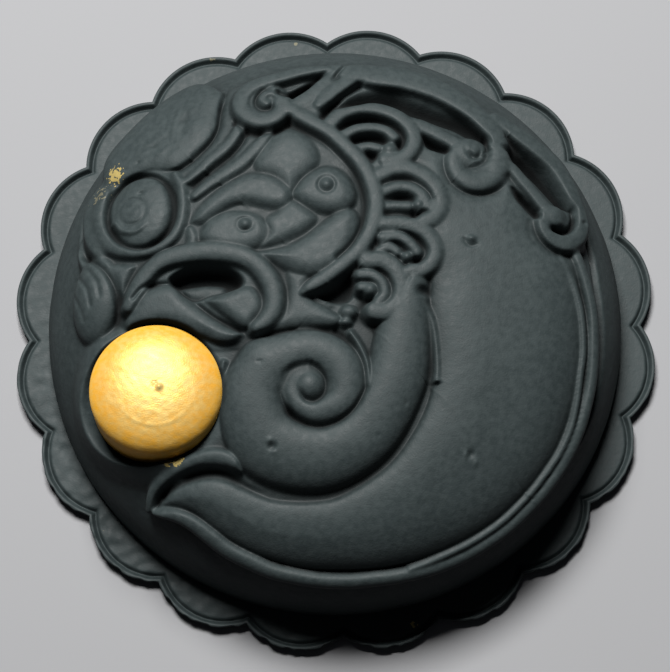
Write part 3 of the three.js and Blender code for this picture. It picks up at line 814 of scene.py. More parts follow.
@dataclass
class Crown:
    """The curled nose tip, the curved band behind the cheek, the two horns and the crest with its scrolls."""

    level: float = 2.5
    band: Spots = (
        (-6.6, 23.5, 0.7), (-5.6, 22.9, 0.8), (-4.3, 22.0, 0.85), (-2.6, 20.9, 0.85), (-0.6, 19.6, 0.85),
        (1.1, 17.9, 0.85), (2.5, 16.4, 0.9), (3.6, 14.8, 0.9), (4.4, 13, 0.95), (4.8, 11, 0.95),
        (4.7, 9.1, 0.95), (4.1, 7.1, 0.9), (2.9, 5, 0.9), (1.2, 3.3, 0.85), (-0.8, 1.7, 0.8),
        (-2.5, 0.6, 0.7), (-3.7, -0.3, 0.3),
    )
    nose: Spots = (
        (-0.9, 28.3, 0.5), (-3.6, 28.0, 0.85), (-6.2, 27.3, 0.95), (-8.3, 26.7, 1.0), (-10.1, 25.8, 1.05),
        (-11.0, 24.5, 1.05), (-11.0, 23.0, 1.05), (-10.2, 21.9, 1.05), (-8.8, 21.3, 1.05), (-7.2, 21.6, 1.0),
        (-6.2, 22.7, 0.95), (-6.1, 24.1, 0.9), (-6.9, 25.1, 0.8), (-8.0, 25.0, 0.65), (-8.6, 24.2, 0.55),
        (-8.0, 23.5, 0.5),
    )
    upper: Spots = (
        (-0.4, 28.4, 0.7), (1.6, 27.9, 1.3), (4.6, 27.6, 1.8), (8.2, 27.2, 1.9), (11.1, 26.3, 1.85),
        (13.4, 25.2, 1.75), (15.8, 23.5, 1.6), (17.6, 21.7, 1.45), (18.8, 19.8, 1.3), (19.3, 17.7, 1.3),
        (19.1, 15.9, 1.35), (18.2, 14.3, 1.4), (16.6, 13.6, 1.4), (14.9, 14.2, 1.3), (14.1, 15.7, 1.2),
        (14.2, 17.2, 1.1), (15.0, 18.1, 1.0),
    )
    lower: Spots = (
        (18.9, 22.4, 0.9), (20.1, 21.6, 1.1), (21.6, 20.5, 1.25), (23.5, 19.1, 1.3), (25.6, 17.3, 1.35),
        (27.1, 14.9, 1.3), (28.0, 12.6, 1.2), (28.5, 11.0, 1.1), (28.8, 9.6, 0.95), (28.3, 8.0, 1.0),
        (26.9, 6.9, 1.0), (25.5, 7.2, 1.0), (24.5, 8.3, 0.95), (24.3, 9.5, 0.9), (24.9, 10.5, 0.8),
    )
    curl: int = 11
    first_scroll: tuple[float, float] = (16.6, 16.1)
    second_scroll: tuple[float, float] = (26.7, 8.9)
    band_crease: Spots = (
        (-6.0, 21.2), (-3.8, 20.2), (-1.6, 18.9), (0.2, 17.5), (1.6, 16.0), (2.7, 14.2), (3.3, 12.4),
        (3.6, 10.7), (3.5, 8.9), (2.9, 7.1), (1.7, 5.3), (0.3, 3.9),
    )
    web: Spots = (
        (-4.8, 22.4), (-3.6, 24.0), (-2.0, 25.4), (-0.9, 26.0), (0.2, 25.4), (-0.8, 23.9), (-1.6, 22.4),
        (-2.0, 21.0), (-3.4, 21.6),
    )
    nose_crease: Spots = ((-11.6, 21.3), (-10.2, 20.2), (-8.4, 19.8), (-6.6, 20.2), (-5.4, 21.2))
    nose_curl: Spots = (
        (-7.0, 25.4, 0.6), (-8.3, 25.4), (-9.2, 24.6), (-9.3, 23.5), (-8.6, 22.8), (-7.6, 22.9),
        (-7.3, 23.5, 0.3),
    )
    front_horn: Spots = (
        (-5.3, 22.8, 0.6), (-4.2, 23.7, 0.9), (-3.0, 24.6, 1.05), (-1.8, 25.7, 1.0), (-0.9, 26.7, 0.9),
        (-0.2, 27.6, 0.7), (0.5, 28.7, 0.4),
    )
    back_horn: Spots = (
        (-1.9, 23.2, 0.6), (-1.1, 24.2, 0.9), (0.1, 25.3, 1.0), (1.2, 26.3, 0.95), (2.4, 27.3, 0.8),
        (3.6, 28.1, 0.5),
    )
    horn_gap: Spots = (
        (-6.5, 25.2, 0.8), (-5.3, 24.9, 1), (-4.2, 25.4, 1), (-3.2, 26.1, 0.5), (-2.4, 26.6, 0),
    )
    horn_gap_line: Spots = ((-4.4, 25.4, 0.6), (-3.0, 26.3, 1), (-1.9, 27.0, 0.7), (-0.9, 27.7, 0))
    horn_notch: Spots = ((-0.5, 26.4, 0), (0.1, 27.3, 1), (0.8, 28.2, 1), (1.6, 29.2, 0))
    upper_valley: Spots = (
        (0.6, 22.9, 0.3), (2.5, 23.5, 0.7), (4.6, 24.0, 0.8), (6.7, 23.7, 0.95), (8.8, 22.8, 1),
        (10.3, 22.3, 1), (12.0, 21.7, 0.95), (14.1, 21.0, 0.85), (15.8, 20.0, 0.7), (17.4, 19.2, 0.45),
    )
    horn_crease: Spots = (
        (-1.4, 21.9, 0.8), (-0.7, 22.9, 1), (0.2, 23.9, 1), (1.2, 24.9, 0.8), (2.4, 25.8, 0.6),
        (3.8, 26.7, 0.0),
    )
    stub_pit: Spots = (
        (10.2, 19.8), (11.2, 19.3), (12.7, 18.6), (13.6, 18.1), (13.6, 18.1), (13.1, 17.5), (11.6, 17.8),
        (10.7, 18.3),
    )
    upper_stub: Spots = (
        (9.2, 21.2, 0.6), (9.9, 20.8, 0.9), (11.5, 20.0, 0.95), (13.0, 19.2, 0.95), (14.6, 18.3, 0.95),
        (15.6, 17.7, 0.9),
    )
    upper_scroll_crease: Spots = (
        (17.4, 19.6, 1), (17.8, 18.2, 0.9), (17.6, 16.8, 0.7), (16.8, 15.8, 0.5), (15.6, 15.4, 0.3),
        (14.4, 15.8, 0.0),
    )
    upper_comma: Spots = (
        (15.4, 17.3, 0.2), (15.9, 16.9, 1), (16.4, 16.7, 1), (16.9, 17.0, 0.8), (17.0, 17.5, 0.2),
    )
    lower_valley: Spots = (
        (20.7, 17.5, 0.75), (21.9, 16.5, 1), (23.3, 15.4, 1), (24.8, 13.8, 0.9), (26.0, 12.5, 0.7),
        (27.3, 11.5, 0.4),
    )
    stub_gap: Spots = ((20.8, 13.4, 0.35), (21.7, 12.2, 1), (22.7, 11.1, 1), (23.6, 10.1, 0.7))
    lower_stub: Spots = (
        (20.3, 16.4, 0.5), (20.8, 15.8, 0.7), (21.7, 14.6, 0.8), (22.8, 13.3, 0.8), (24.0, 11.8, 0.85),
        (25.0, 10.7, 0.9),
    )
    lower_comma: Spots = ((27.7, 11.4), (27.8, 10.3), (27.5, 9.2), (26.9, 8.5), (26.1, 8.3), (25.3, 8.5))
    upper_scroll_foot: Spots = (
        (13.0, 18.2, 0.0), (12.7, 16.0, 0.5), (13.3, 14.0, 1), (15.0, 12.5, 1), (17.0, 12.2, 1),
        (18.8, 12.9, 0.9), (19.9, 13.9, 0.1),
    )
    lower_scroll_foot: Spots = (
        (23.4, 9.6, 0.0), (23.5, 7.8, 0.6), (24.5, 6.4, 1), (26.0, 5.6, 1), (27.6, 5.7, 0.6),
        (28.9, 6.5, 0.2),
    )
    lower_back: Spots = (
        (21.6, 23.4, 0), (23.4, 21.8, 0.4), (25.6, 19.5, 0.85), (27.9, 16.8, 1), (29.2, 14.5, 1),
        (29.8, 12.2, 1), (30.3, 9.2, 1), (30.7, 6.6, 0.4),
    )
    nick: Spots = ((22.6, 9.4), (22.5, 8.4), (22.8, 7.2), (23.4, 6.4))

    def marks(self) -> list[Mark]:
        """Lists the marks of the band, the curls, the horns and the crest.

        Returns:
            The marks, in the order in which they are pressed.
        """
        crease = Cut.CREASE
        return [
            Groove(self.band_crease, depth=0.8, left=0.5, right=0.6, cut=crease),
            Ridge(self.band, crest=self.level, foot=0.8),
            Plate(self.web, crest=2.0, shoulder=1.0, foot=1.2, blend=0.5),
            Groove(self.nose_crease, depth=1.0, left=0.9, right=0.6),
            Boss((-8.2, 23.8), (2.6, 2.6), crest=2.0, foot=1.6),
            Ridge(self.nose, crest=self.level, foot=1.2),
            Groove(self.nose_curl, depth=1.0, left=0.42, cut=crease),
            Ridge(self.front_horn, crest=2.25, foot=1.2, blend=0.4),
            Ridge(self.upper[:self.curl], crest=self.level, foot=1.2, sides=2.4, swell=0.4, blend=0.4),
            Ridge(self.back_horn, crest=2.5, foot=1.2, blend=0.4),
            Groove(self.horn_gap, depth=2.2, left=0.75),
            Groove(self.horn_gap_line, depth=1.4, left=0.6, right=0.4, cut=crease),
            Groove(self.horn_notch, depth=1.0, left=0.4, cut=crease),
            Boss(self.first_scroll, (3.6, 3.6), crest=2.1, foot=0.5, sides=2.6, blend=0.3),
            Ridge(self.upper[self.curl - 2:], crest=self.level, foot=0.6, sides=2.2, swell=0.8, blend=0.4),
            Groove(self.upper_valley, depth=3.4, left=2.6, right=0.5, taper=1.0),
            Groove(self.horn_crease, depth=1.5, left=0.35, right=0.5, cut=crease),
            Hollow(self.stub_pit, crest=-1.2, shoulder=0.5, foot=0.2),
            Ridge(self.upper_stub, crest=2.2, foot=0.7, swell=0.6),
            Boss((15.8, 17.5), (2.1, 2.0), crest=2.7, foot=1.5, sides=2.4, blend=0.3),
            Groove(self.upper_scroll_crease, depth=1.1, left=0.5, cut=crease),
            Groove(self.upper_comma, depth=1.3, left=0.5, cut=crease),
            Ridge(self.lower, crest=self.level, foot=0.6, swell=0.4, blend=0.3),
            Boss(self.second_scroll, (2.8, 2.8), crest=1.9, foot=0.5, sides=2.4, blend=0.3),
            Groove(self.lower_valley, depth=3.3, left=2.3, right=0.45, taper=0.8),
            Groove(self.stub_gap, depth=2.4, left=0.6, right=0.8, taper=0.5),
            Ridge(self.lower_stub, crest=2.2, foot=0.6, swell=0.6),
            Boss((25.6, 10.1), (1.5, 1.5), crest=2.75, foot=1.6, blend=0.2),
            Groove(self.lower_comma, depth=1.9, left=0.6, cut=crease),
            Dimple((26.3, 8.7), (0.95, 0.5), crest=-0.5, turn=15),
            Groove(self.upper_scroll_foot, depth=0.6, left=0.5, right=1.1, cut=crease),
            Groove(self.lower_scroll_foot, depth=0.7, left=0.5, right=1.1, cut=crease),
            Groove(self.lower_back, depth=0.9, left=0.9, right=0.6),
            Groove(self.nick, depth=0.25, left=0.3),
            Dimple((28.9, 9.8), (0.5, 0.45), crest=-0.5),
            Rough((16.6, 16.6), (3.2, 3.2), crest=0.04, size=0.7, seed=41),
            Rough((26.5, 9.0), (3.0, 3.0), crest=0.04, size=0.7, seed=42),
        ]


@dataclass
class ManeLock:
    """One hooked lock of the mane: an outer hook, an inner hook, a stub and a bead."""

    outer: Spots
    inner: Spots
    stub: Spots
    bead: tuple[float, float]
    bead_radius: float = 0.9
    outer_width: float = 0.9
    inner_width: float = 0.65
    inner_drop: float = 0.2
    stub_drop: float = 0.45
    stub_share: float = 0.9

    def marks(self, level: float) -> list[Mark]:
        """Lists the lock's marks for one crest level.

        Args:
            level: how high the lock's crest stands.

        Returns:
            The marks, in the order in which they are pressed.
        """
        return [
            Ridge(self.stub, level - self.stub_drop, width=self.inner_width * self.stub_share, foot=0.6),
            Ridge(self.inner, crest=level - self.inner_drop, width=self.inner_width, foot=0.6),
            Boss(self.bead, (self.bead_radius,) * 2, crest=level, foot=0.6),
            Ridge(self.outer, crest=level, width=self.outer_width, foot=0.5),
        ]


@dataclass
class Mane:
    """The four hooked locks behind the curved band."""

    level: float = 2.4
    floor: float = -0.1
    bed: Spots = (
        (-0.6, 20.6), (0.8, 22.1), (4, 23.1), (7.2, 22.3), (9.1, 20.7), (9.5, 18.6), (8.5, 16.6),
        (10.6, 14.5), (12.3, 12.2), (12.1, 9.8), (10.9, 8.5), (11.6, 5.3), (11.1, 3.0), (9.0, 1.9),
        (7.8, -0.8), (6.5, -2.4), (4.6, -2.7), (2.5, -2.0), (2.5, 2), (4.5, 6), (5, 12), (2.5, 17),
    )
    locks: tuple[ManeLock, ...] = (
        ManeLock(
            outer=(
                (-0.4, 21.0), (0.6, 22.0), (2.1, 22.7), (3.8, 22.9), (5.6, 22.6), (7.4, 21.8), (8.7, 20.6),
                (9.3, 19.2), (9.1, 17.8), (8.3, 16.7), (7.1, 16.1), (5.9, 16.1),
            ),
            inner=((1.1, 19.3), (2.6, 20.1), (4.5, 20.3), (6, 19.9), (6.9, 19.1)),
            stub=((2.6, 17.6), (3.9, 17.9), (5.1, 17.7)),
            bead=(6.4, 17.5), bead_radius=1.1, outer_width=0.9, inner_width=0.65,
        ),
        ManeLock(
            outer=(
                (5.3, 14.2), (6.8, 14.9), (8.6, 15.0), (10.2, 14.3), (11.5, 13.2), (12.3, 11.8), (12.3, 10.2),
                (11.5, 9.0), (10.4, 8.4),
            ),
            inner=((5.6, 12.1), (7.3, 12.7), (8.9, 12.6), (10.2, 11.7), (10.9, 10.5)),
            stub=((5.6, 10.3), (7, 10.4), (8.6, 10.4)),
            bead=(9.8, 10.5), bead_radius=0.95, outer_width=0.95, inner_width=0.7,
        ),
        ManeLock(
            outer=(
                (5.5, 8.1), (7.6, 8.2), (9.6, 7.7), (11.0, 6.6), (11.7, 5.0), (11.3, 3.5), (10.2, 2.5),
                (8.9, 2.3),
            ),
            inner=((5.6, 6.4), (7.3, 6.6), (8.6, 5.9), (9.6, 4.7)),
            stub=((5.2, 4.9), (6.4, 5.3), (7.3, 4.7)),
            bead=(8.4, 4.1), bead_radius=0.8, outer_width=0.9, inner_width=0.6,
        ),
        ManeLock(
            outer=(
                (3.7, 3.6), (5.5, 3.6), (6.9, 2.7), (7.7, 1.2), (7.8, -0.4), (7.1, -1.8), (5.8, -2.6),
                (4.5, -2.5),
            ),
            inner=((2.9, 1.9), (4.4, 1.8), (5.5, 0.9), (5.8, -0.4), (5.1, -1.4)),
            stub=((3.0, 0.4), (3.6, 0.4)),
            bead=(4.1, 0.1), bead_radius=1.0, outer_width=1.05, inner_width=0.6,
        ),
    )
    knot: Spots = ((5.4, 16.2, 0.3), (4.8, 15.5, 0.45), (5.0, 14.9, 0.3))
    throat: Spots = (
        (-2.7, 0.0), (-1.5, 1.2), (0.2, 2.2), (1.6, 2.4), (2.4, 1.0), (2.0, -0.8), (0.8, -1.4), (-1.2, -1.1),
    )

    def marks(self) -> list[Mark]:
        """Lists the floor between the locks, the locks from the last to the first, and the deep gaps.

        Returns:
            The marks, in the order in which they are pressed.
        """
        made: list[Mark] = [Hollow(self.bed, crest=self.floor, shoulder=0.6, foot=1.4)]
        for lock in reversed(self.locks):
            made += lock.marks(self.level)
        return made + [
            Ridge(self.knot, crest=1.9, foot=0.6),
            Dimple((10.3, 0.0), (1.1, 0.9), crest=-1.0),
            Hollow(self.throat, crest=-1.3, shoulder=0.7, foot=1.2),
            Boss((1.6, -2.4), (1.0, 0.8), crest=1.5, foot=0.6),
            Boss((1.2, -3.6), (0.8, 0.5), crest=1.3, foot=0.5),
            Rough((6, 6), (6, 10), crest=0.03, size=0.8, seed=43),
        ]


@dataclass
class Blemishes:
    """The small pits and bumps of dough pressed in a mould."""

    bumps: Spots = (
        (15.9, 6.5, 0.7, 0.6), (15.5, -18.5, 0.7, -0.4), (15.0, -18.6, 0.4, 0.35), (16.1, -19.4, 0.4, 0.25),
    )
    oval: float = 0.85
    fold: Spots = ((15.1, 6.4), (15.4, 5.8), (15.9, 5.6), (16.5, 5.9))

    def marks(self) -> list[Mark]:
        """Lists the marks, each bump or pit at x and y with a radius and a height.

        Returns:
            The marks, in the order in which they are pressed.
        """
        made = [Dimple((x, y), (r, r * self.oval), crest=rise) for x, y, r, rise in self.bumps]
        return [*made, Groove(self.fold, depth=0.35, left=0.25)]


# ---------------------------------------------------------------- meshes


def grid_faces(rows: int, columns: int, round_columns: bool = False) -> np.ndarray:
    """Gives the quads of a grid numbered row by row.

    Args:
        rows: its rows of places.
        columns: its places in a row.
        round_columns: whether the last column joins the first.

    Returns:
        Four numbers a quad.
    """
    across = columns if round_columns else columns - 1
    r, c = np.meshgrid(np.arange(rows - 1), np.arange(across), indexing="ij")
    right = (c + 1) % columns
    above, below = r * columns, (r + 1) * columns
    return np.stack([above + c, below + c, below + right, above + right], axis=-1).reshape(-1, 4)


def mesh_object(
    name: str, points: np.ndarray, faces: list[np.ndarray], normals: Optional[np.ndarray] = None
) -> bpy.types.Object:
    """Makes a smooth-shaded mesh object whose place is in its vertices.

    Args:
        name: the piece's name.
        points: places, one row each.
        faces: arrays of quads or triangles.
        normals: shading normals, one a place, where the mesh's own won't do at a seam.

    Returns:
        The object, in the scene.
    """
    mesh = bpy.data.meshes.new(name)
    sizes = np.concatenate([np.full(len(f), f.shape[1]) for f in faces])
    corners = np.concatenate([f.ravel() for f in faces])
    mesh.vertices.add(len(points))
    mesh.vertices.foreach_set("co", (points * MM).astype(np.float32).ravel())
    mesh.loops.add(len(corners))
    mesh.loops.foreach_set("vertex_index", corners.astype(np.int32))
    mesh.polygons.add(len(sizes))
    mesh.polygons.foreach_set("loop_start", (np.cumsum(sizes) - sizes).astype(np.int32))
    mesh.update(calc_edges=True)
    mesh.polygons.foreach_set("use_smooth", np.ones(len(sizes), bool))
    if normals is not None:
        mesh.normals_split_custom_set_from_vertices(normals.astype(np.float32))
    mesh.validate()
    made = bpy.data.objects.new(name, mesh)
    bpy.context.scene.collection.objects.link(made)
    return made


# ---------------------------------------------------------------- finishes


class Nodes:
    """A small helper that adds nodes to a material or a group and links them."""

    def __init__(self, tree: bpy.types.NodeTree) -> None:
        """Works on one node tree."""
        self.tree = tree

    def add(self, kind: str, inputs: Optional[dict] = None, **settings: object) -> bpy.types.Node:
        """Adds a node.

        Args:
            kind: its Blender type.
            inputs: for each input, by name or number, a socket to link or a value to set.
            settings: properties of the node.

        Returns:
            The node.
        """
        node = self.tree.nodes.new(kind)
        for key, value in settings.items():
            setattr(node, key, value)
        self.fill(node, inputs or {})
        return node

    def fill(self, node: bpy.types.Node, inputs: dict) -> None:
        """Links or sets inputs of a node.

        Args:
            node: the node.
            inputs: for each input, by name or number, a socket to link or a value to set.
        """
        for key, value in inputs.items():
            if isinstance(value, bpy.types.NodeSocket):
                self.tree.links.new(value, node.inputs[key])
            else:
                node.inputs[key].default_value = value

    def math(self, operation: str, *values: Value) -> bpy.types.NodeSocket:
        """Adds a math node and gives its result."""
        return self.add("ShaderNodeMath", dict(enumerate(values)), operation=operation).outputs[0]

    def noise(self, place: bpy.types.NodeSocket, scale: Value, detail: float) -> bpy.types.NodeSocket:
        """Adds a noise of so many waves a metre and gives its value."""
        return self.add("ShaderNodeTexNoise", {"Vector": place, "Scale": scale, "Detail": detail}).outputs[0]

    def stretched(self, value: Value, low: float, high: float) -> bpy.types.NodeSocket:
        """Gives a value stretched so that low becomes 0 and high becomes 1, and held there."""
        return self.add("ShaderNodeMapRange", {"Value": value, "From Min": low, "From Max": high}).outputs[0]

    def between(self, share: Value, low: float, high: float) -> bpy.types.NodeSocket:
        """Gives low where the share is 0 and high where it is 1."""
        return self.add("ShaderNodeMapRange", {"Value": share, "To Min": low, "To Max": high}).outputs[0]

    def mixed(
        self, share: Value, low: bpy.types.NodeSocket | Colour, high: Colour
    ) -> bpy.types.NodeSocket:
        """Mixes a colour, or a socket that gives one, with another colour."""
        low = low if isinstance(low, bpy.types.NodeSocket) else (*low, 1)
        return self.add("ShaderNodeMix", {0: share, 6: low, 7: (*high, 1)}, data_type="RGBA").outputs[2]

    def bump(self, height: bpy.types.NodeSocket, depth: float) -> bpy.types.NodeSocket:
        """Gives the normal of a bumpy skin, whose bumps are as high as the depth in metres."""
        return self.add("ShaderNodeBump", {"Height": height, "Distance": depth, "Strength": 1.0}).outputs[0]

    def dimmed(self, colour: bpy.types.NodeSocket, share: Value, most: float) -> bpy.types.NodeSocket:
        """Darkens a colour where the share is high, by as much as the most at 1."""
        left = self.math("SUBTRACT", 1.0, self.math("MULTIPLY", share, most))
        return self.add("ShaderNodeVectorMath", {0: colour, "Scale": left}, operation="SCALE").outputs[0]


def new_group(name: str, given: dict[str, Optional[float]], made: tuple[str, ...]) -> bpy.types.NodeTree:
    """Makes an empty group of nodes.

    Args:
        name: its name.
        given: for each input that is a number its value at first, and None for one that is a place.
        made: the names of its outputs, all numbers.

    Returns:
        The group.
    """
    group = bpy.data.node_groups.new(name, "ShaderNodeTree")
    for key, value in given.items():
        kind = "NodeSocketVector" if value is None else "NodeSocketFloat"
        socket = group.interface.new_socket(key, in_out="INPUT", socket_type=kind)
        if value is not None:
            socket.default_value = value
    for key in made:
        group.interface.new_socket(key, in_out="OUTPUT", socket_type="NodeSocketFloat")
    return group


def grain_group() -> bpy.types.NodeTree:
    """Makes the grain that the dough and the gold share.

    The fine grain is noise at its size; the coarse one is noise four times as large. The mask is the
    coarse noise stretched round its middle, and the height adds a third of the coarse to the fine.

    Returns:
        A group with inputs Place and Size (in metres) and outputs Mask and Height.
    """
    group = new_group("pressed_grain", {"Place": None, "Size": 0.0003}, ("Mask", "Height"))
    n = Nodes(group)
    given = n.add("NodeGroupInput")
    scale = n.math("DIVIDE", 1.0, given.outputs["Size"])
    fine = n.noise(given.outputs["Place"], scale, 2.0)
    coarse = n.noise(given.outputs["Place"], n.math("MULTIPLY", scale, 0.25), 3.0)
    height = n.math("MULTIPLY_ADD", coarse, 0.33, fine)
    n.add("NodeGroupOutput", {"Mask": n.stretched(coarse, 0.35, 0.65), "Height": height})
    return group


def fleck_group() -> bpy.types.NodeTree:
    """Makes a broken fleck round a place.

    The share is the distance to the centre in radii, and the raggedness times a noise round 0, seven
    times as strong, is added to it. The mask is 1 up to a share of 0.65 and 0 from 0.75 on, so that the
    fleck has a ragged edge and gaps.

    Returns:
        A group with inputs Place, Centre, Radius (in metres) and Ragged, and the output Mask.
    """
    inputs = {"Place": None, "Centre": None, "Radius": 0.001, "Ragged": 1.0}
    group = new_group("ragged_fleck", inputs, ("Mask",))
    n = Nodes(group)
    given = n.add("NodeGroupInput")
    ends = {0: given.outputs["Place"], 1: given.outputs["Centre"]}
    away = n.add("ShaderNodeVectorMath", ends, operation="DISTANCE").outputs["Value"]
    share = n.math("DIVIDE", away, given.outputs["Radius"])
    noise = n.math("SUBTRACT", n.noise(given.outputs["Place"], 2600.0, 2.0), 0.5)
    torn = n.math("MULTIPLY", noise, given.outputs["Ragged"])
    edge = n.math("ADD", share, n.math("MULTIPLY", torn, 7.0))
    n.add("NodeGroupOutput", {"Mask": n.stretched(edge, 0.75, 0.65)})
    return group


@dataclass(frozen=True)
class Fleck:
    """A spot of another colour on the dough: its place and its reach, how ragged it is and how metallic."""

    place: tuple[float, float, float]
    radius: float
    colour: Colour
    ragged: float = 1.0
    metal: float = 0.0


@dataclass(frozen=True)
class BlackDough:
    """The matte black crust: two near-black tones, a fine grain and painted shade in its creases. Its scales
    are in waves a metre.
    """

    dark: Colour = (0.022, 0.031, 0.032)
    light: Colour = (0.042, 0.055, 0.056)
    cloud_scale: float = 160.0
    cloud_share: float = 0.6
    grain_share: float = 0.4
    roughness: tuple[float, float] = (0.56, 0.68)
    specular: float = 0.3
    grain: float = 0.0002
    depth: float = 0.00002
    # how much painted shade darkens the colour in the sunk places
    painted_crease_shade: float = 0.85
    crumb: float = 1.8
    crumb_scale: float = 1400.0
    flecks: tuple[Fleck, ...] = ()

    def make(self, grain: bpy.types.NodeTree, fleck: bpy.types.NodeTree) -> bpy.types.Material:
        """Builds the material.

        The tone between dark and light is the cloud's noise and the grain's mask, each times its share.
        Where the skin is sunk the colour is dimmed, as painted shade, and the roughness rises to 1.

        Args:
            grain: the grain group.
            fleck: the fleck group.

        Returns:
            The material.
        """
        material = bpy.data.materials.new("black_dough")
        material.use_nodes = True
        n = Nodes(material.node_tree)
        shader = material.node_tree.nodes["Principled BSDF"]
        place = n.add("ShaderNodeTexCoord").outputs["Object"]
        skin = n.add("ShaderNodeGroup", {"Place": place, "Size": self.grain}, node_tree=grain)
        cloud = n.math("MULTIPLY", n.noise(place, self.cloud_scale, 3.0), self.cloud_share)
        tone = n.math("ADD", cloud, n.math("MULTIPLY", skin.outputs["Mask"], self.grain_share))
        colour = n.mixed(tone, self.dark, self.light)
        rough = n.between(skin.outputs["Mask"], *self.roughness)
        metal = 0.0
        for spot in self.flecks:
            centre = tuple(c * MM for c in spot.place)
            inputs = {"Place": place, "Centre": centre, "Radius": spot.radius * MM, "Ragged": spot.ragged}
            mark = n.add("ShaderNodeGroup", inputs, node_tree=fleck).outputs[0]
            colour = n.mixed(mark, colour, spot.colour)
            metal = n.math("MAXIMUM", metal, n.math("MULTIPLY", mark, spot.metal))
        # painted shade: where the skin is sunk, the colour is darkened as if shade fell there
        sunk = n.add("ShaderNodeAttribute", attribute_name="sunk").outputs["Fac"]
        crumbs = n.math("MULTIPLY", n.noise(place, self.crumb_scale, 2.0), self.crumb)
        height = n.math("ADD", skin.outputs["Height"], crumbs)
        bump = n.bump(height, self.depth)
        n.fill(shader, {
            "Base Color": n.dimmed(colour, sunk, self.painted_crease_shade),
            "Roughness": n.math("MAXIMUM", rough, sunk),
            "Metallic": metal,
            "Specular IOR Level": self.specular,
            "Normal": bump,
        })
        return material


@dataclass(frozen=True)
class GoldDust:
    """Edible gold dust, deeper orange low down and paler on the crown: painted shade below and a painted
    highlight on top.

    Its two heights, in metres, are where the colour is deepest and where it is palest.
    """

    bright: Colour = (0.73, 0.58, 0.23)
    deep: Colour = (0.98, 0.50, 0.04)
    # the heights over which the colour goes from painted shade to painted highlight
    shaded_height: float = 0.0203
    lit_height: float = 0.0232
    lit_share: float = 0.75
    worn_share: float = 0.35
    worn_span: tuple[float, float] = (0.3, 0.65)
    stroke_turn: float = 0.6
    stroke_stretch: float = 3.5
    stroke_scale: float = 420.0
    stroke_share: float = 0.7
    grain_share: float = 0.3
    roughness: tuple[float, float] = (0.45, 0.58)
    diffuse_roughness: float = 0.8
    metal: float = 0.35
    specular: float = 0.25
    bounce_dim: float = 0.93
    grain: float = 0.00016
    depth: float = 0.00003

    def make(self, grain: bpy.types.NodeTree) -> bpy.types.Material:
        """Builds the material, with strokes of noise stretched along one way.

        The tone between deep and bright is the height, which paints a highlight on the crown and shade below,
        and the wear of the strokes, each times its share. Rays that bounce see it dimmed, so that it tints
        the dough round it only a little.

        Args:
            grain: the grain group.

        Returns:
            The material.
        """
        material = bpy.data.materials.new("gold_dust")
        material.use_nodes = True
        n = Nodes(material.node_tree)
        shader = material.node_tree.nodes["Principled BSDF"]
        place = n.add("ShaderNodeTexCoord").outputs["Object"]
        turned = {"Vector": place, "Rotation": (0, 0, self.stroke_turn), "Scale": (1, self.stroke_stretch, 1)}
        strokes = n.noise(n.add("ShaderNodeMapping", turned).outputs[0], self.stroke_scale, 4.0)
        skin = n.add("ShaderNodeGroup", {"Place": place, "Size": self.grain}, node_tree=grain)
        brushed = n.math("MULTIPLY", strokes, self.stroke_share)
        patch = n.math("ADD", brushed, n.math("MULTIPLY", skin.outputs["Mask"], self.grain_share))
        worn = n.math("MULTIPLY", n.stretched(patch, *self.worn_span), self.worn_share)
        up = n.add("ShaderNodeSeparateXYZ", {0: place}).outputs["Z"]
        # painted light: the colour pales with height, a highlight on the crown and shade below
        tone = n.math("MULTIPLY_ADD", n.stretched(up, self.shaded_height, self.lit_height), self.lit_share, worn)
        path = n.add("ShaderNodeLightPath")
        second = n.math("MAXIMUM", path.outputs["Is Diffuse Ray"], path.outputs["Is Glossy Ray"])
        bump = n.bump(skin.outputs["Height"], self.depth)
        n.fill(shader, {
            "Base Color": n.dimmed(n.mixed(tone, self.deep, self.bright), second, self.bounce_dim),
            "Roughness": n.between(skin.outputs["Mask"], *self.roughness),
            "Metallic": self.metal,
            "Diffuse Roughness": self.diffuse_roughness,
            "Specular IOR Level": self.specular,
            "Normal": bump,
        })
        return material


# ---------------------------------------------------------------- sub-assemblies


class SubAssembly:
    """What every sub-assembly does with the meshes that it builds."""

    @staticmethod
    def dress(piece: bpy.types.Object, node: str, slot: str, material: bpy.types.Material) -> None:
        """Gives a piece its material, hangs it on the root body, hides its node's solid, and reports it.

        Args:
            piece: the piece.
            node: the node whose solid it replaces.
            slot: its material slot; not used.
            material: what it is made of.
        """
        piece.data.materials.append(material)
        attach(piece, "root")
        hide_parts(node)
        log.info("%s: %d faces", piece.name, len(piece.data.polygons))


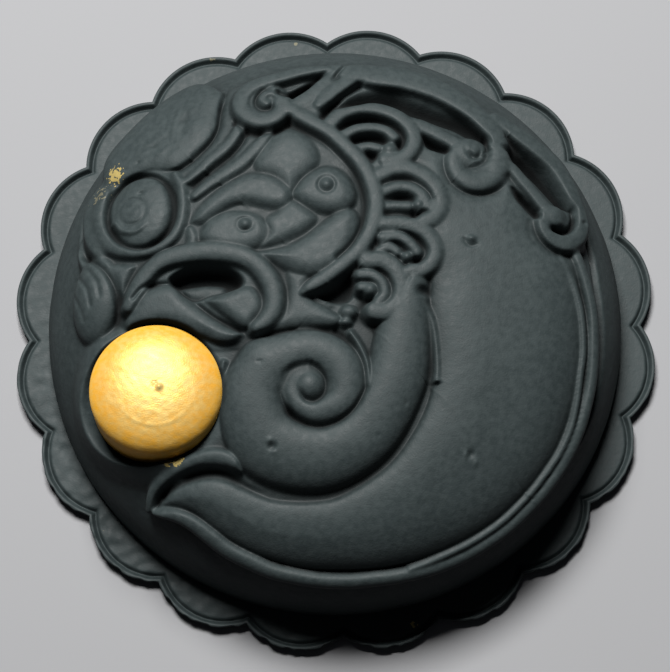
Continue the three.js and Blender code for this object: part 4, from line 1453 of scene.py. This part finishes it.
@dataclass
class DragonSkin(SubAssembly):
    """The whole pressed top as one continuous skin, in four quarters that meet without a seam."""

    dome: Dome = field(default_factory=Dome)
    cells: int = 620
    swells: tuple[Boss, ...] = (
        Boss((-13.5, 10.5), (18.5, 17), crest=1.2, foot=-0.4, sides=3, blend=1.0),
        Boss((3, 22), (17, 8), crest=1.0, turn=-12, foot=-0.4, blend=1.0),
    )
    evenness: float = 0.012
    # Each pattern of unevenness: its share, its size and its seed.
    patterns: tuple[tuple[float, float, int], ...] = ((1.0, 5.0, 11), (0.6, 1.6, 12))
    softness: int = 3
    weights: tuple[float, float] = (0.6, 0.2)
    face: float = 2.0
    lowest: float = 0.6
    # Each width at which sunk places, which the dough darkens as painted shade, are looked for: how many
    # cells, and the depth that counts in full.
    hollows: tuple[tuple[int, float], ...] = ((7, 0.9), (17, 2.0))
    upright_edge: float = 34.0
    upright_fade: float = 7.0
    pearl: tuple[float, float] = (-21.2, -11.3)
    pearl_radius: float = 8.0
    pearl_equator: float = 18.2
    clearance: float = 0.5
    seats: tuple[float, float] = (-0.9, 2.0)
    wall_span: tuple[float, float] = (-1.0, 0.1)
    wall_slopes: tuple[float, float] = (7.0, 3.0)
    wall_blend: float = 0.2
    fillet_span: tuple[float, float] = (-0.5, 3.0)
    fillet_slope: float = 0.8
    fillet_blend: float = 0.4
    nowhere: float = -9.0

    def relief(self) -> Relief:
        """Presses every mark into the plain dome, in order.

        Returns:
            The pressed relief.
        """
        made = Relief(self.dome, self.cells)
        groups = (Belly(), TailCoil(), Eye(), Muzzle(), Cheek(), Mane(), Crown(), Blemishes())
        for mark in [*self.swells, *(mark for group in groups for mark in group.marks())]:
            mark.press(made)
        self.seat_pearl(made)
        return made

    def seat_pearl(self, relief: Relief) -> None:
        """Seats the pearl: the skin ends a little below the pearl's widest place and falls off underneath it.

        The seat is the gap between the skin and that place less the clearance, held between the two
        seats. Outside, the skin stays under a wall that rises at the first wall slope from the seat, and
        over a fillet that falls at the fillet's slope; underneath, it falls at the second wall slope.

        Args:
            relief: what is pressed.
        """
        x, y = self.pearl
        away = np.hypot(relief.spots[:, 0] - x, relief.spots[:, 1] - y) - self.pearl_radius
        seat = np.clip(self.pearl_equator - self.clearance - relief.spots[:, 2], *self.seats)
        (outside, underneath), (inner, outer) = self.wall_slopes, self.wall_span
        wall = seat + outside * np.clip(away - outer, 0, None) + underneath * np.clip(away, inner, 0)
        nearest, farthest = self.fillet_span
        slope = seat - self.fillet_slope * np.clip(away, 0, None)
        fillet = np.where((seat > 0) & (away > nearest), slope, self.nowhere)
        filled = soft_max(relief.height, fillet, self.fillet_blend)
        raised = np.where(away < farthest, filled, relief.height)
        relief.height = -soft_max(-raised, -wall, self.wall_blend)

    def smoothed(self, height: np.ndarray) -> np.ndarray:
        """Mixes each height with the ones before and after it, along each way of the grid in turn.

        Args:
            height: the grid of heights, whose edge stays as it is.

        Returns:
            The smoothed grid.
        """
        own, other = self.weights
        for axis in (0, 1) * self.softness:
            inner = [slice(None)] * 2
            inner[axis] = slice(1, -1)
            before, after = np.delete(height, (-2, -1), axis), np.delete(height, (0, 1), axis)
            height[tuple(inner)] = own * height[tuple(inner)] + other * before + other * after
        return height

    def placed(self, spots: np.ndarray, height: np.ndarray, outward: np.ndarray) -> np.ndarray:
        """Puts the heights on the dome.

        Each place is the dome's place plus the face level along the dome's normal, plus the rest of its
        height along the way the mould presses: straight up over the top, turning to the normal at the wall.

        Args:
            spots: places on the dome, one row each.
            height: the height at each.
            outward: the dome's normal at each.

        Returns:
            The places, one row each.
        """
        reach = np.hypot(spots[:, 0], spots[:, 1])
        upright = np.clip((self.upright_edge - reach) / self.upright_fade, 0, 1)
        upright = (upright**2 * (3 - 2 * upright))[:, None]
        press = (1 - upright) * outward + upright * np.array([0.0, 0.0, 1.0])
        places = spots + outward * self.face + press * (height - self.face)[:, None]
        places[:, 2] = np.maximum(places[:, 2], self.lowest)
        return places

    def build(self) -> list[bpy.types.Object]:
        """Builds the four quarters.

        Heights are smoothed and a gentle unevenness is added. A place is sunk by as much as it lies below
        the average round it, in the depths that count in full; the dough paints shade there. Shading normals
        are the cross product of the slopes of the whole grid.

        Returns:
            The four objects.
        """
        relief = self.relief()
        height = self.smoothed(relief.height.reshape(relief.shape))
        # the sunk mask, that the dough uses to paint shade into the creases
        below = [(blurred(height, cells) - height) / depth for cells, depth in self.hollows]
        sunk = np.clip(np.max(below, axis=0), 0, 1)
        uneven = sum(share * waves(relief.spots, size, seed) for share, size, seed in self.patterns)
        outward = self.dome.outward(relief.spots)
        places = self.placed(relief.spots, height.ravel() + self.evenness * uneven, outward)
        grid = places.reshape(*relief.shape, 3)
        slope = np.cross(np.gradient(grid, axis=0), np.gradient(grid, axis=1))
        slope *= np.sign((slope * outward.reshape(grid.shape)).sum())
        slope /= np.linalg.norm(slope, axis=2, keepdims=True) + 1e-12
        half = self.cells // 2
        cuts = (slice(0, half + 1), slice(half, 2 * half + 1))
        names = (("coil_quarter", "head_quarter"), ("belly_quarter", "crest_quarter"))
        return [
            self.quarter(names[i][j], *(whole[cuts[i], cuts[j]] for whole in (grid, slope, sunk)))
            for i, j in np.ndindex(2, 2)
        ]

    @staticmethod
    def quarter(name: str, part: np.ndarray, slope: np.ndarray, sunk: np.ndarray) -> bpy.types.Object:
        """Makes one quarter of the skin.

        Args:
            name: the piece's name.
            part: the grid of its places.
            slope: their shading normals.
            sunk: how far each lies below its surroundings, 0 to 1.

        Returns:
            The object.
        """
        made = mesh_object(name, part.reshape(-1, 3), [grid_faces(*part.shape[:2])], slope.reshape(-1, 3))
        shares = made.data.attributes.new("sunk", "FLOAT", "POINT")
        shares.data.foreach_set("value", sunk.astype(np.float32).ravel())
        return made


@dataclass
class ScallopedFoot(SubAssembly):
    """The thin plate that the cake stands on: twenty scallops, each with a raised lip and a groove."""

    petals: int = 20
    turn: float = 1.5
    tip_radius: float = 40.0
    arc_radius: float = 8.6
    inner: float = 34.6
    plate: float = 1.4
    lip: float = 0.25
    lip_flat: float = 0.3
    lip_width: float = 0.2
    round_drop: float = 0.08
    round_width: float = 0.2
    groove: float = 0.5
    groove_place: float = 0.8
    groove_width: float = 0.24
    groove_least: float = 0.85
    groove_range: float = 0.3
    rise: float = 0.15
    rise_width: float = 4.0
    sag: float = 0.05
    # Each tear of the front edge: its depth, how many waves it has round the foot and where it starts.
    tears: Spots = ((0.10, 61, 1), (0.08, 97, 2), (0.05, 173, 0))
    tear_limits: tuple[float, float] = (-0.3, 0.05)
    worn_side: float = 3.9
    uneven: float = 0.008
    worn: float = 0.06
    columns_a_petal: int = 60
    rows: tuple[int, int] = (14, 42)
    dense_from: float = 0.45
    # Each row under the edge: how far out from it, and how high as a share of the edge's height.
    under: Spots = ((0.0, 0.55), (-0.1, 0.2), (-0.35, 0.0), (-4.0, 0.0), (-20.0, 0.0))
    under_drop: float = 0.15

    def build(self) -> bpy.types.Object:
        """Builds the plate.

        A column at the angle f from its petal's middle ends at c cos f + sqrt(a^2 - c^2 sin^2 f), with a
        the arc's radius and c the distance of the arc's centre. Rows run from the dome out to that edge,
        round it and in underneath to the middle.

        Returns:
            The object.
        """
        columns = self.petals * self.columns_a_petal
        angle = np.arange(columns) / columns * 2 * np.pi
        pitch = 2 * np.pi / self.petals
        first = math.radians(self.turn)
        number = np.floor((angle - first) / pitch)
        middle = first + (number + 0.5) * pitch
        off = angle - middle
        centre = self.tip_radius - self.arc_radius
        edge = centre * np.cos(off) + np.sqrt(self.arc_radius**2 - (centre * np.sin(off)) ** 2)
        low = np.clip(-np.sin(angle), 0, 1)
        ragged = low * sum(depth * np.sin(angle * count + start) for depth, count, start in self.tears)
        edge = edge + np.clip(ragged, *self.tear_limits) - self.sag * low
        chance = np.random.default_rng(7).random(self.petals)
        wobble = self.groove_least + self.groove_range * chance[(number % self.petals).astype(int)]

        sparse = np.linspace(0, self.dense_from, self.rows[0], endpoint=False)
        share = np.concatenate([sparse, np.linspace(self.dense_from, 1, self.rows[1])])[:, None]
        reach = self.inner + share * (edge - self.inner)
        x, y = reach * np.cos(angle), reach * np.sin(angle)
        inset = self.arc_radius - np.hypot(x - centre * np.cos(middle), y - centre * np.sin(middle))
        inset = np.where(share == 1, 0, inset)
        plan = np.stack([x, y], axis=-1)
        worn = np.clip(np.cos(angle - self.worn_side), 0, 1) ** 3
        z = self.top(inset, wobble, low)
        z = z + self.uneven * waves(plan, 4.0, 21) + self.worn * worn * waves(plan, 2.0, 23)
        rings = [np.stack([x, y, z], axis=-1)]
        for out, up in self.under:
            ring = edge + out
            height = np.minimum(z[-1] - self.under_drop, z[-1] * up) if up else np.zeros(columns)
            rings.append(np.stack([ring * np.cos(angle), ring * np.sin(angle), height], axis=-1)[None])
        points = np.concatenate(rings).reshape(-1, 3)
        count = len(points) // columns
        faces = grid_faces(count, columns, round_columns=True)
        last, column = (count - 1) * columns, np.arange(columns)
        fan = np.stack([last + column, np.full(columns, len(points)), last + (column + 1) % columns], axis=-1)
        return mesh_object("scalloped_foot", np.vstack([points, (0, 0, 0)]), [faces, fan])

    def top(self, inset: np.ndarray, wobble: np.ndarray, low: np.ndarray) -> np.ndarray:
        """Gives the plate's height: a round lip, a groove, then a smooth plate that rises a little.

        The lip and the groove are bells, exp(-(distance / width)^2), the lip's with a flat top, and
        the edge is rounded by its drop times (1 - inset / width)^2.

        Args:
            inset: distance in from the edge.
            wobble: how deep the groove is, as a share, in each column.
            low: how near the front each column is, 0 to 1.

        Returns:
            One height a place.
        """
        lip = self.lip * np.exp(-((np.clip(inset - self.lip_flat, 0, None) / self.lip_width) ** 2))
        lip = lip - self.round_drop * np.clip(1 - inset / self.round_width, 0, 1) ** 2
        past = inset - self.groove_place
        groove = self.groove * np.exp(-((past / self.groove_width) ** 2)) * wobble
        return self.plate + lip - groove + self.rise * np.clip(past / self.rise_width, 0, 1) - self.sag * low


@dataclass
class GoldPearl(SubAssembly):
    """The round gold pearl in the dragon's mouth, with the little point that the mould left on its crown."""

    centre: tuple[float, float] = (-21.2, -11.3)
    equator: float = 18.2
    radius: float = 7.95
    crown: float = 4.3
    power: float = 2.3
    base: float = 11.4
    wall_top: float = -0.3
    # The point and the dent beside it: x, y, height and width of each.
    bumps: Spots = ((0.55, -0.42, 0.38, 0.35), (0.1, -0.1, -0.2, 0.3))
    ring_radius: float = 4.9
    ring_height: float = 0.035
    ring_width: float = 0.22
    evenness: float = 0.012
    # Each pattern of unevenness: its size and its seed.
    patterns: tuple[tuple[float, int], ...] = ((1.1, 31), (3.0, 32))
    columns: int = 192
    crown_rows: int = 129
    wall_rows: int = 8

    def build(self) -> bpy.types.Object:
        """Builds the pearl.

        The crown is (r / R)^n + (z / crown)^n = 1 above the equator, from the top down; the wall
        goes straight down from there. The point and the dent are bells, height exp(-(distance / width)^2),
        and so is the faint ring that runs round the lower crown, on the side that faces the front.

        Returns:
            The object.
        """
        lean = np.linspace(0, np.pi / 2, self.crown_rows + 1)[1:]
        turn = np.arange(self.columns) / self.columns * 2 * np.pi
        reach = self.radius * np.sin(lean)[:, None] ** (2 / self.power)
        x, y = reach * np.cos(turn), reach * np.sin(turn)
        z = np.repeat(self.crown * np.cos(lean)[:, None] ** (2 / self.power), self.columns, axis=1)
        for bump_x, bump_y, height, width in self.bumps:
            z += height * np.exp(-((x - bump_x) ** 2 + (y - bump_y) ** 2) / width**2)
        facing = np.clip(np.cos(turn + np.pi / 2), 0, 1)
        z += self.ring_height * np.exp(-((reach - self.ring_radius) ** 2) / self.ring_width**2) * facing**2
        smooth = np.stack([x, y, z], axis=-1)
        z += self.evenness * sum(waves(smooth, size, seed) for size, seed in self.patterns)
        crown = np.stack([x, y, z], axis=-1)
        down = np.linspace(self.wall_top, self.base - self.equator, self.wall_rows)[:, None]
        rim = (self.radius * np.cos(turn), self.radius * np.sin(turn))
        wall = np.stack(np.broadcast_arrays(*rim, down), axis=-1)
        points = np.concatenate([crown, wall]).reshape(-1, 3)
        rows = len(points) // self.columns
        ends = np.array([[0, 0, self.crown], [0, 0, self.base - self.equator]])
        faces = grid_faces(rows, self.columns, round_columns=True)
        ring = np.arange(self.columns)
        after = (ring + 1) % self.columns
        top = np.stack([np.full(self.columns, len(points)), ring, after], axis=-1)
        last = (rows - 1) * self.columns
        under = np.stack([last + ring, np.full(self.columns, len(points) + 1), last + after], axis=-1)
        place = np.array([*self.centre, self.equator])
        return mesh_object("gold_pearl", np.vstack([points, ends]) + place, [faces, top, under])


@dataclass
class Studio:
    """The pale floor, the soft light and the camera, in metres; the scale is in pixels a millimetre."""

    distance: float = 0.4
    elevation: float = 76.0
    scale: float = 8.0
    frame_height: float = 672.0
    sensor: float = 36.0
    clip: tuple[float, float] = (0.02, 20.0)
    lamp_place: tuple[float, float, float] = (-0.065, 0.25, 0.475)
    lamp_size: tuple[float, float] = (0.20, 0.16)
    lamp_power: float = 5.3
    lamp_colour: Colour = (1.0, 1.0, 0.99)
    sky: Colour = (0.85, 0.9, 1.0)
    sky_strength: float = 0.015
    floor_size: float = 3.0
    floor_seen: Colour = (0.31, 0.31, 0.32)
    floor_bounced: Colour = (0.09, 0.09, 0.095)
    floor_roughness: float = 0.8

    def build(self) -> bpy.types.Object:
        """Sets the lights, the camera and the floor.

        Returns:
            The floor.
        """
        scene = bpy.context.scene
        scene.view_settings.view_transform = "Standard"
        self.camera(scene)
        self.lamp(scene)
        world = bpy.data.worlds.new("studio")
        scene.world = world
        world.use_nodes = True
        background = world.node_tree.nodes["Background"]
        background.inputs["Color"].default_value = (*self.sky, 1)
        background.inputs["Strength"].default_value = self.sky_strength
        return self.floor(scene)

    def camera(self, scene: bpy.types.Scene) -> None:
        """Looks down at the middle of the cake from the front, with a lens that gives the picture's scale.

        Args:
            scene: the scene.
        """
        data = bpy.data.cameras.new("camera")
        made = bpy.data.objects.new("camera", data)
        scene.collection.objects.link(made)
        tilt = math.radians(self.elevation)
        made.location = (0, -math.cos(tilt) * self.distance, math.sin(tilt) * self.distance)
        made.rotation_euler = (math.pi / 2 - tilt, 0, 0)
        data.sensor_width = self.sensor
        data.lens = self.sensor * self.distance / MM / (self.frame_height / self.scale)
        data.clip_start, data.clip_end = self.clip
        scene.camera = made

    def lamp(self, scene: bpy.types.Scene) -> None:
        """Hangs an oblong soft light behind the cake, that looks at it.

        Args:
            scene: the scene.
        """
        data = bpy.data.lights.new("back_softbox", "AREA")
        data.shape, data.size, data.size_y = "RECTANGLE", *self.lamp_size
        data.energy, data.color = self.lamp_power, self.lamp_colour
        made = bpy.data.objects.new("back_softbox", data)
        scene.collection.objects.link(made)
        away = np.array(self.lamp_place) / np.linalg.norm(self.lamp_place)
        made.location = self.lamp_place
        made.rotation_euler = (math.acos(away[2]), 0, math.atan2(away[0], -away[1]))

    def floor(self, scene: bpy.types.Scene) -> bpy.types.Object:
        """Lays the pale floor, which is darker to the rays that bounce and throws little light at the cake.

        Args:
            scene: the scene.

        Returns:
            The floor.
        """
        mesh = bpy.data.meshes.new("floor")
        half = self.floor_size / 2
        corners = [(-half, -half, 0), (half, -half, 0), (half, half, 0), (-half, half, 0)]
        mesh.from_pydata(corners, [], [(0, 1, 2, 3)])
        made = bpy.data.objects.new("floor", mesh)
        scene.collection.objects.link(made)
        paper = bpy.data.materials.new("pale_paper")
        paper.use_nodes = True
        shader = paper.node_tree.nodes["Principled BSDF"]
        n = Nodes(paper.node_tree)
        seen = n.add("ShaderNodeLightPath").outputs["Is Camera Ray"]
        colour = n.mixed(seen, self.floor_bounced, self.floor_seen)
        n.fill(shader, {"Base Color": colour, "Roughness": self.floor_roughness})
        mesh.materials.append(paper)
        return made


GOLD = (0.48, 0.37, 0.13)
PALE = (0.16, 0.15, 0.10)
FLECKS = (
    Fleck((-26.7, 16.4, 15.0), 1.3, GOLD, ragged=0.35, metal=0.4),
    Fleck((-28.6, 13.8, 14.9), 0.6, PALE, ragged=1.7, metal=0.2),
    Fleck((-19.8, -19.55, 16.95), 0.95, GOLD, ragged=0.2, metal=0.5),
    Fleck((-18.6, -19.4, 17.4), 1.05, GOLD, ragged=0.2, metal=0.5),
    Fleck((-5.0, 38.0, 1.5), 0.35, PALE, ragged=0.1),
    Fleck((-15.7, 35.7, 1.6), 0.4, PALE, ragged=0.4),
    Fleck((-28.3, -25.1, 1.6), 0.35, PALE, ragged=0.3),
    Fleck((9.6, -36.6, 1.5), 0.4, GOLD, ragged=0.5),
)


def main() -> None:
    """Builds the cake piece by piece and dresses it."""
    logging.basicConfig(level=logging.INFO, format="%(name)s: %(message)s")
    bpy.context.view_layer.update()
    Studio().build()
    grain = grain_group()
    dough = BlackDough(flecks=FLECKS).make(grain, fleck_group())
    gold = GoldDust().make(grain)
    skin, foot, pearl = DragonSkin(), ScallopedFoot(), GoldPearl()
    for piece in skin.build():
        skin.dress(piece, "crust", "black_crust", dough)
    foot.dress(foot.build(), "crust", "black_crust", dough)
    pearl.dress(pearl.build(), "pearl", "gold_dust", gold)


if __name__ == "__main__":
    main()
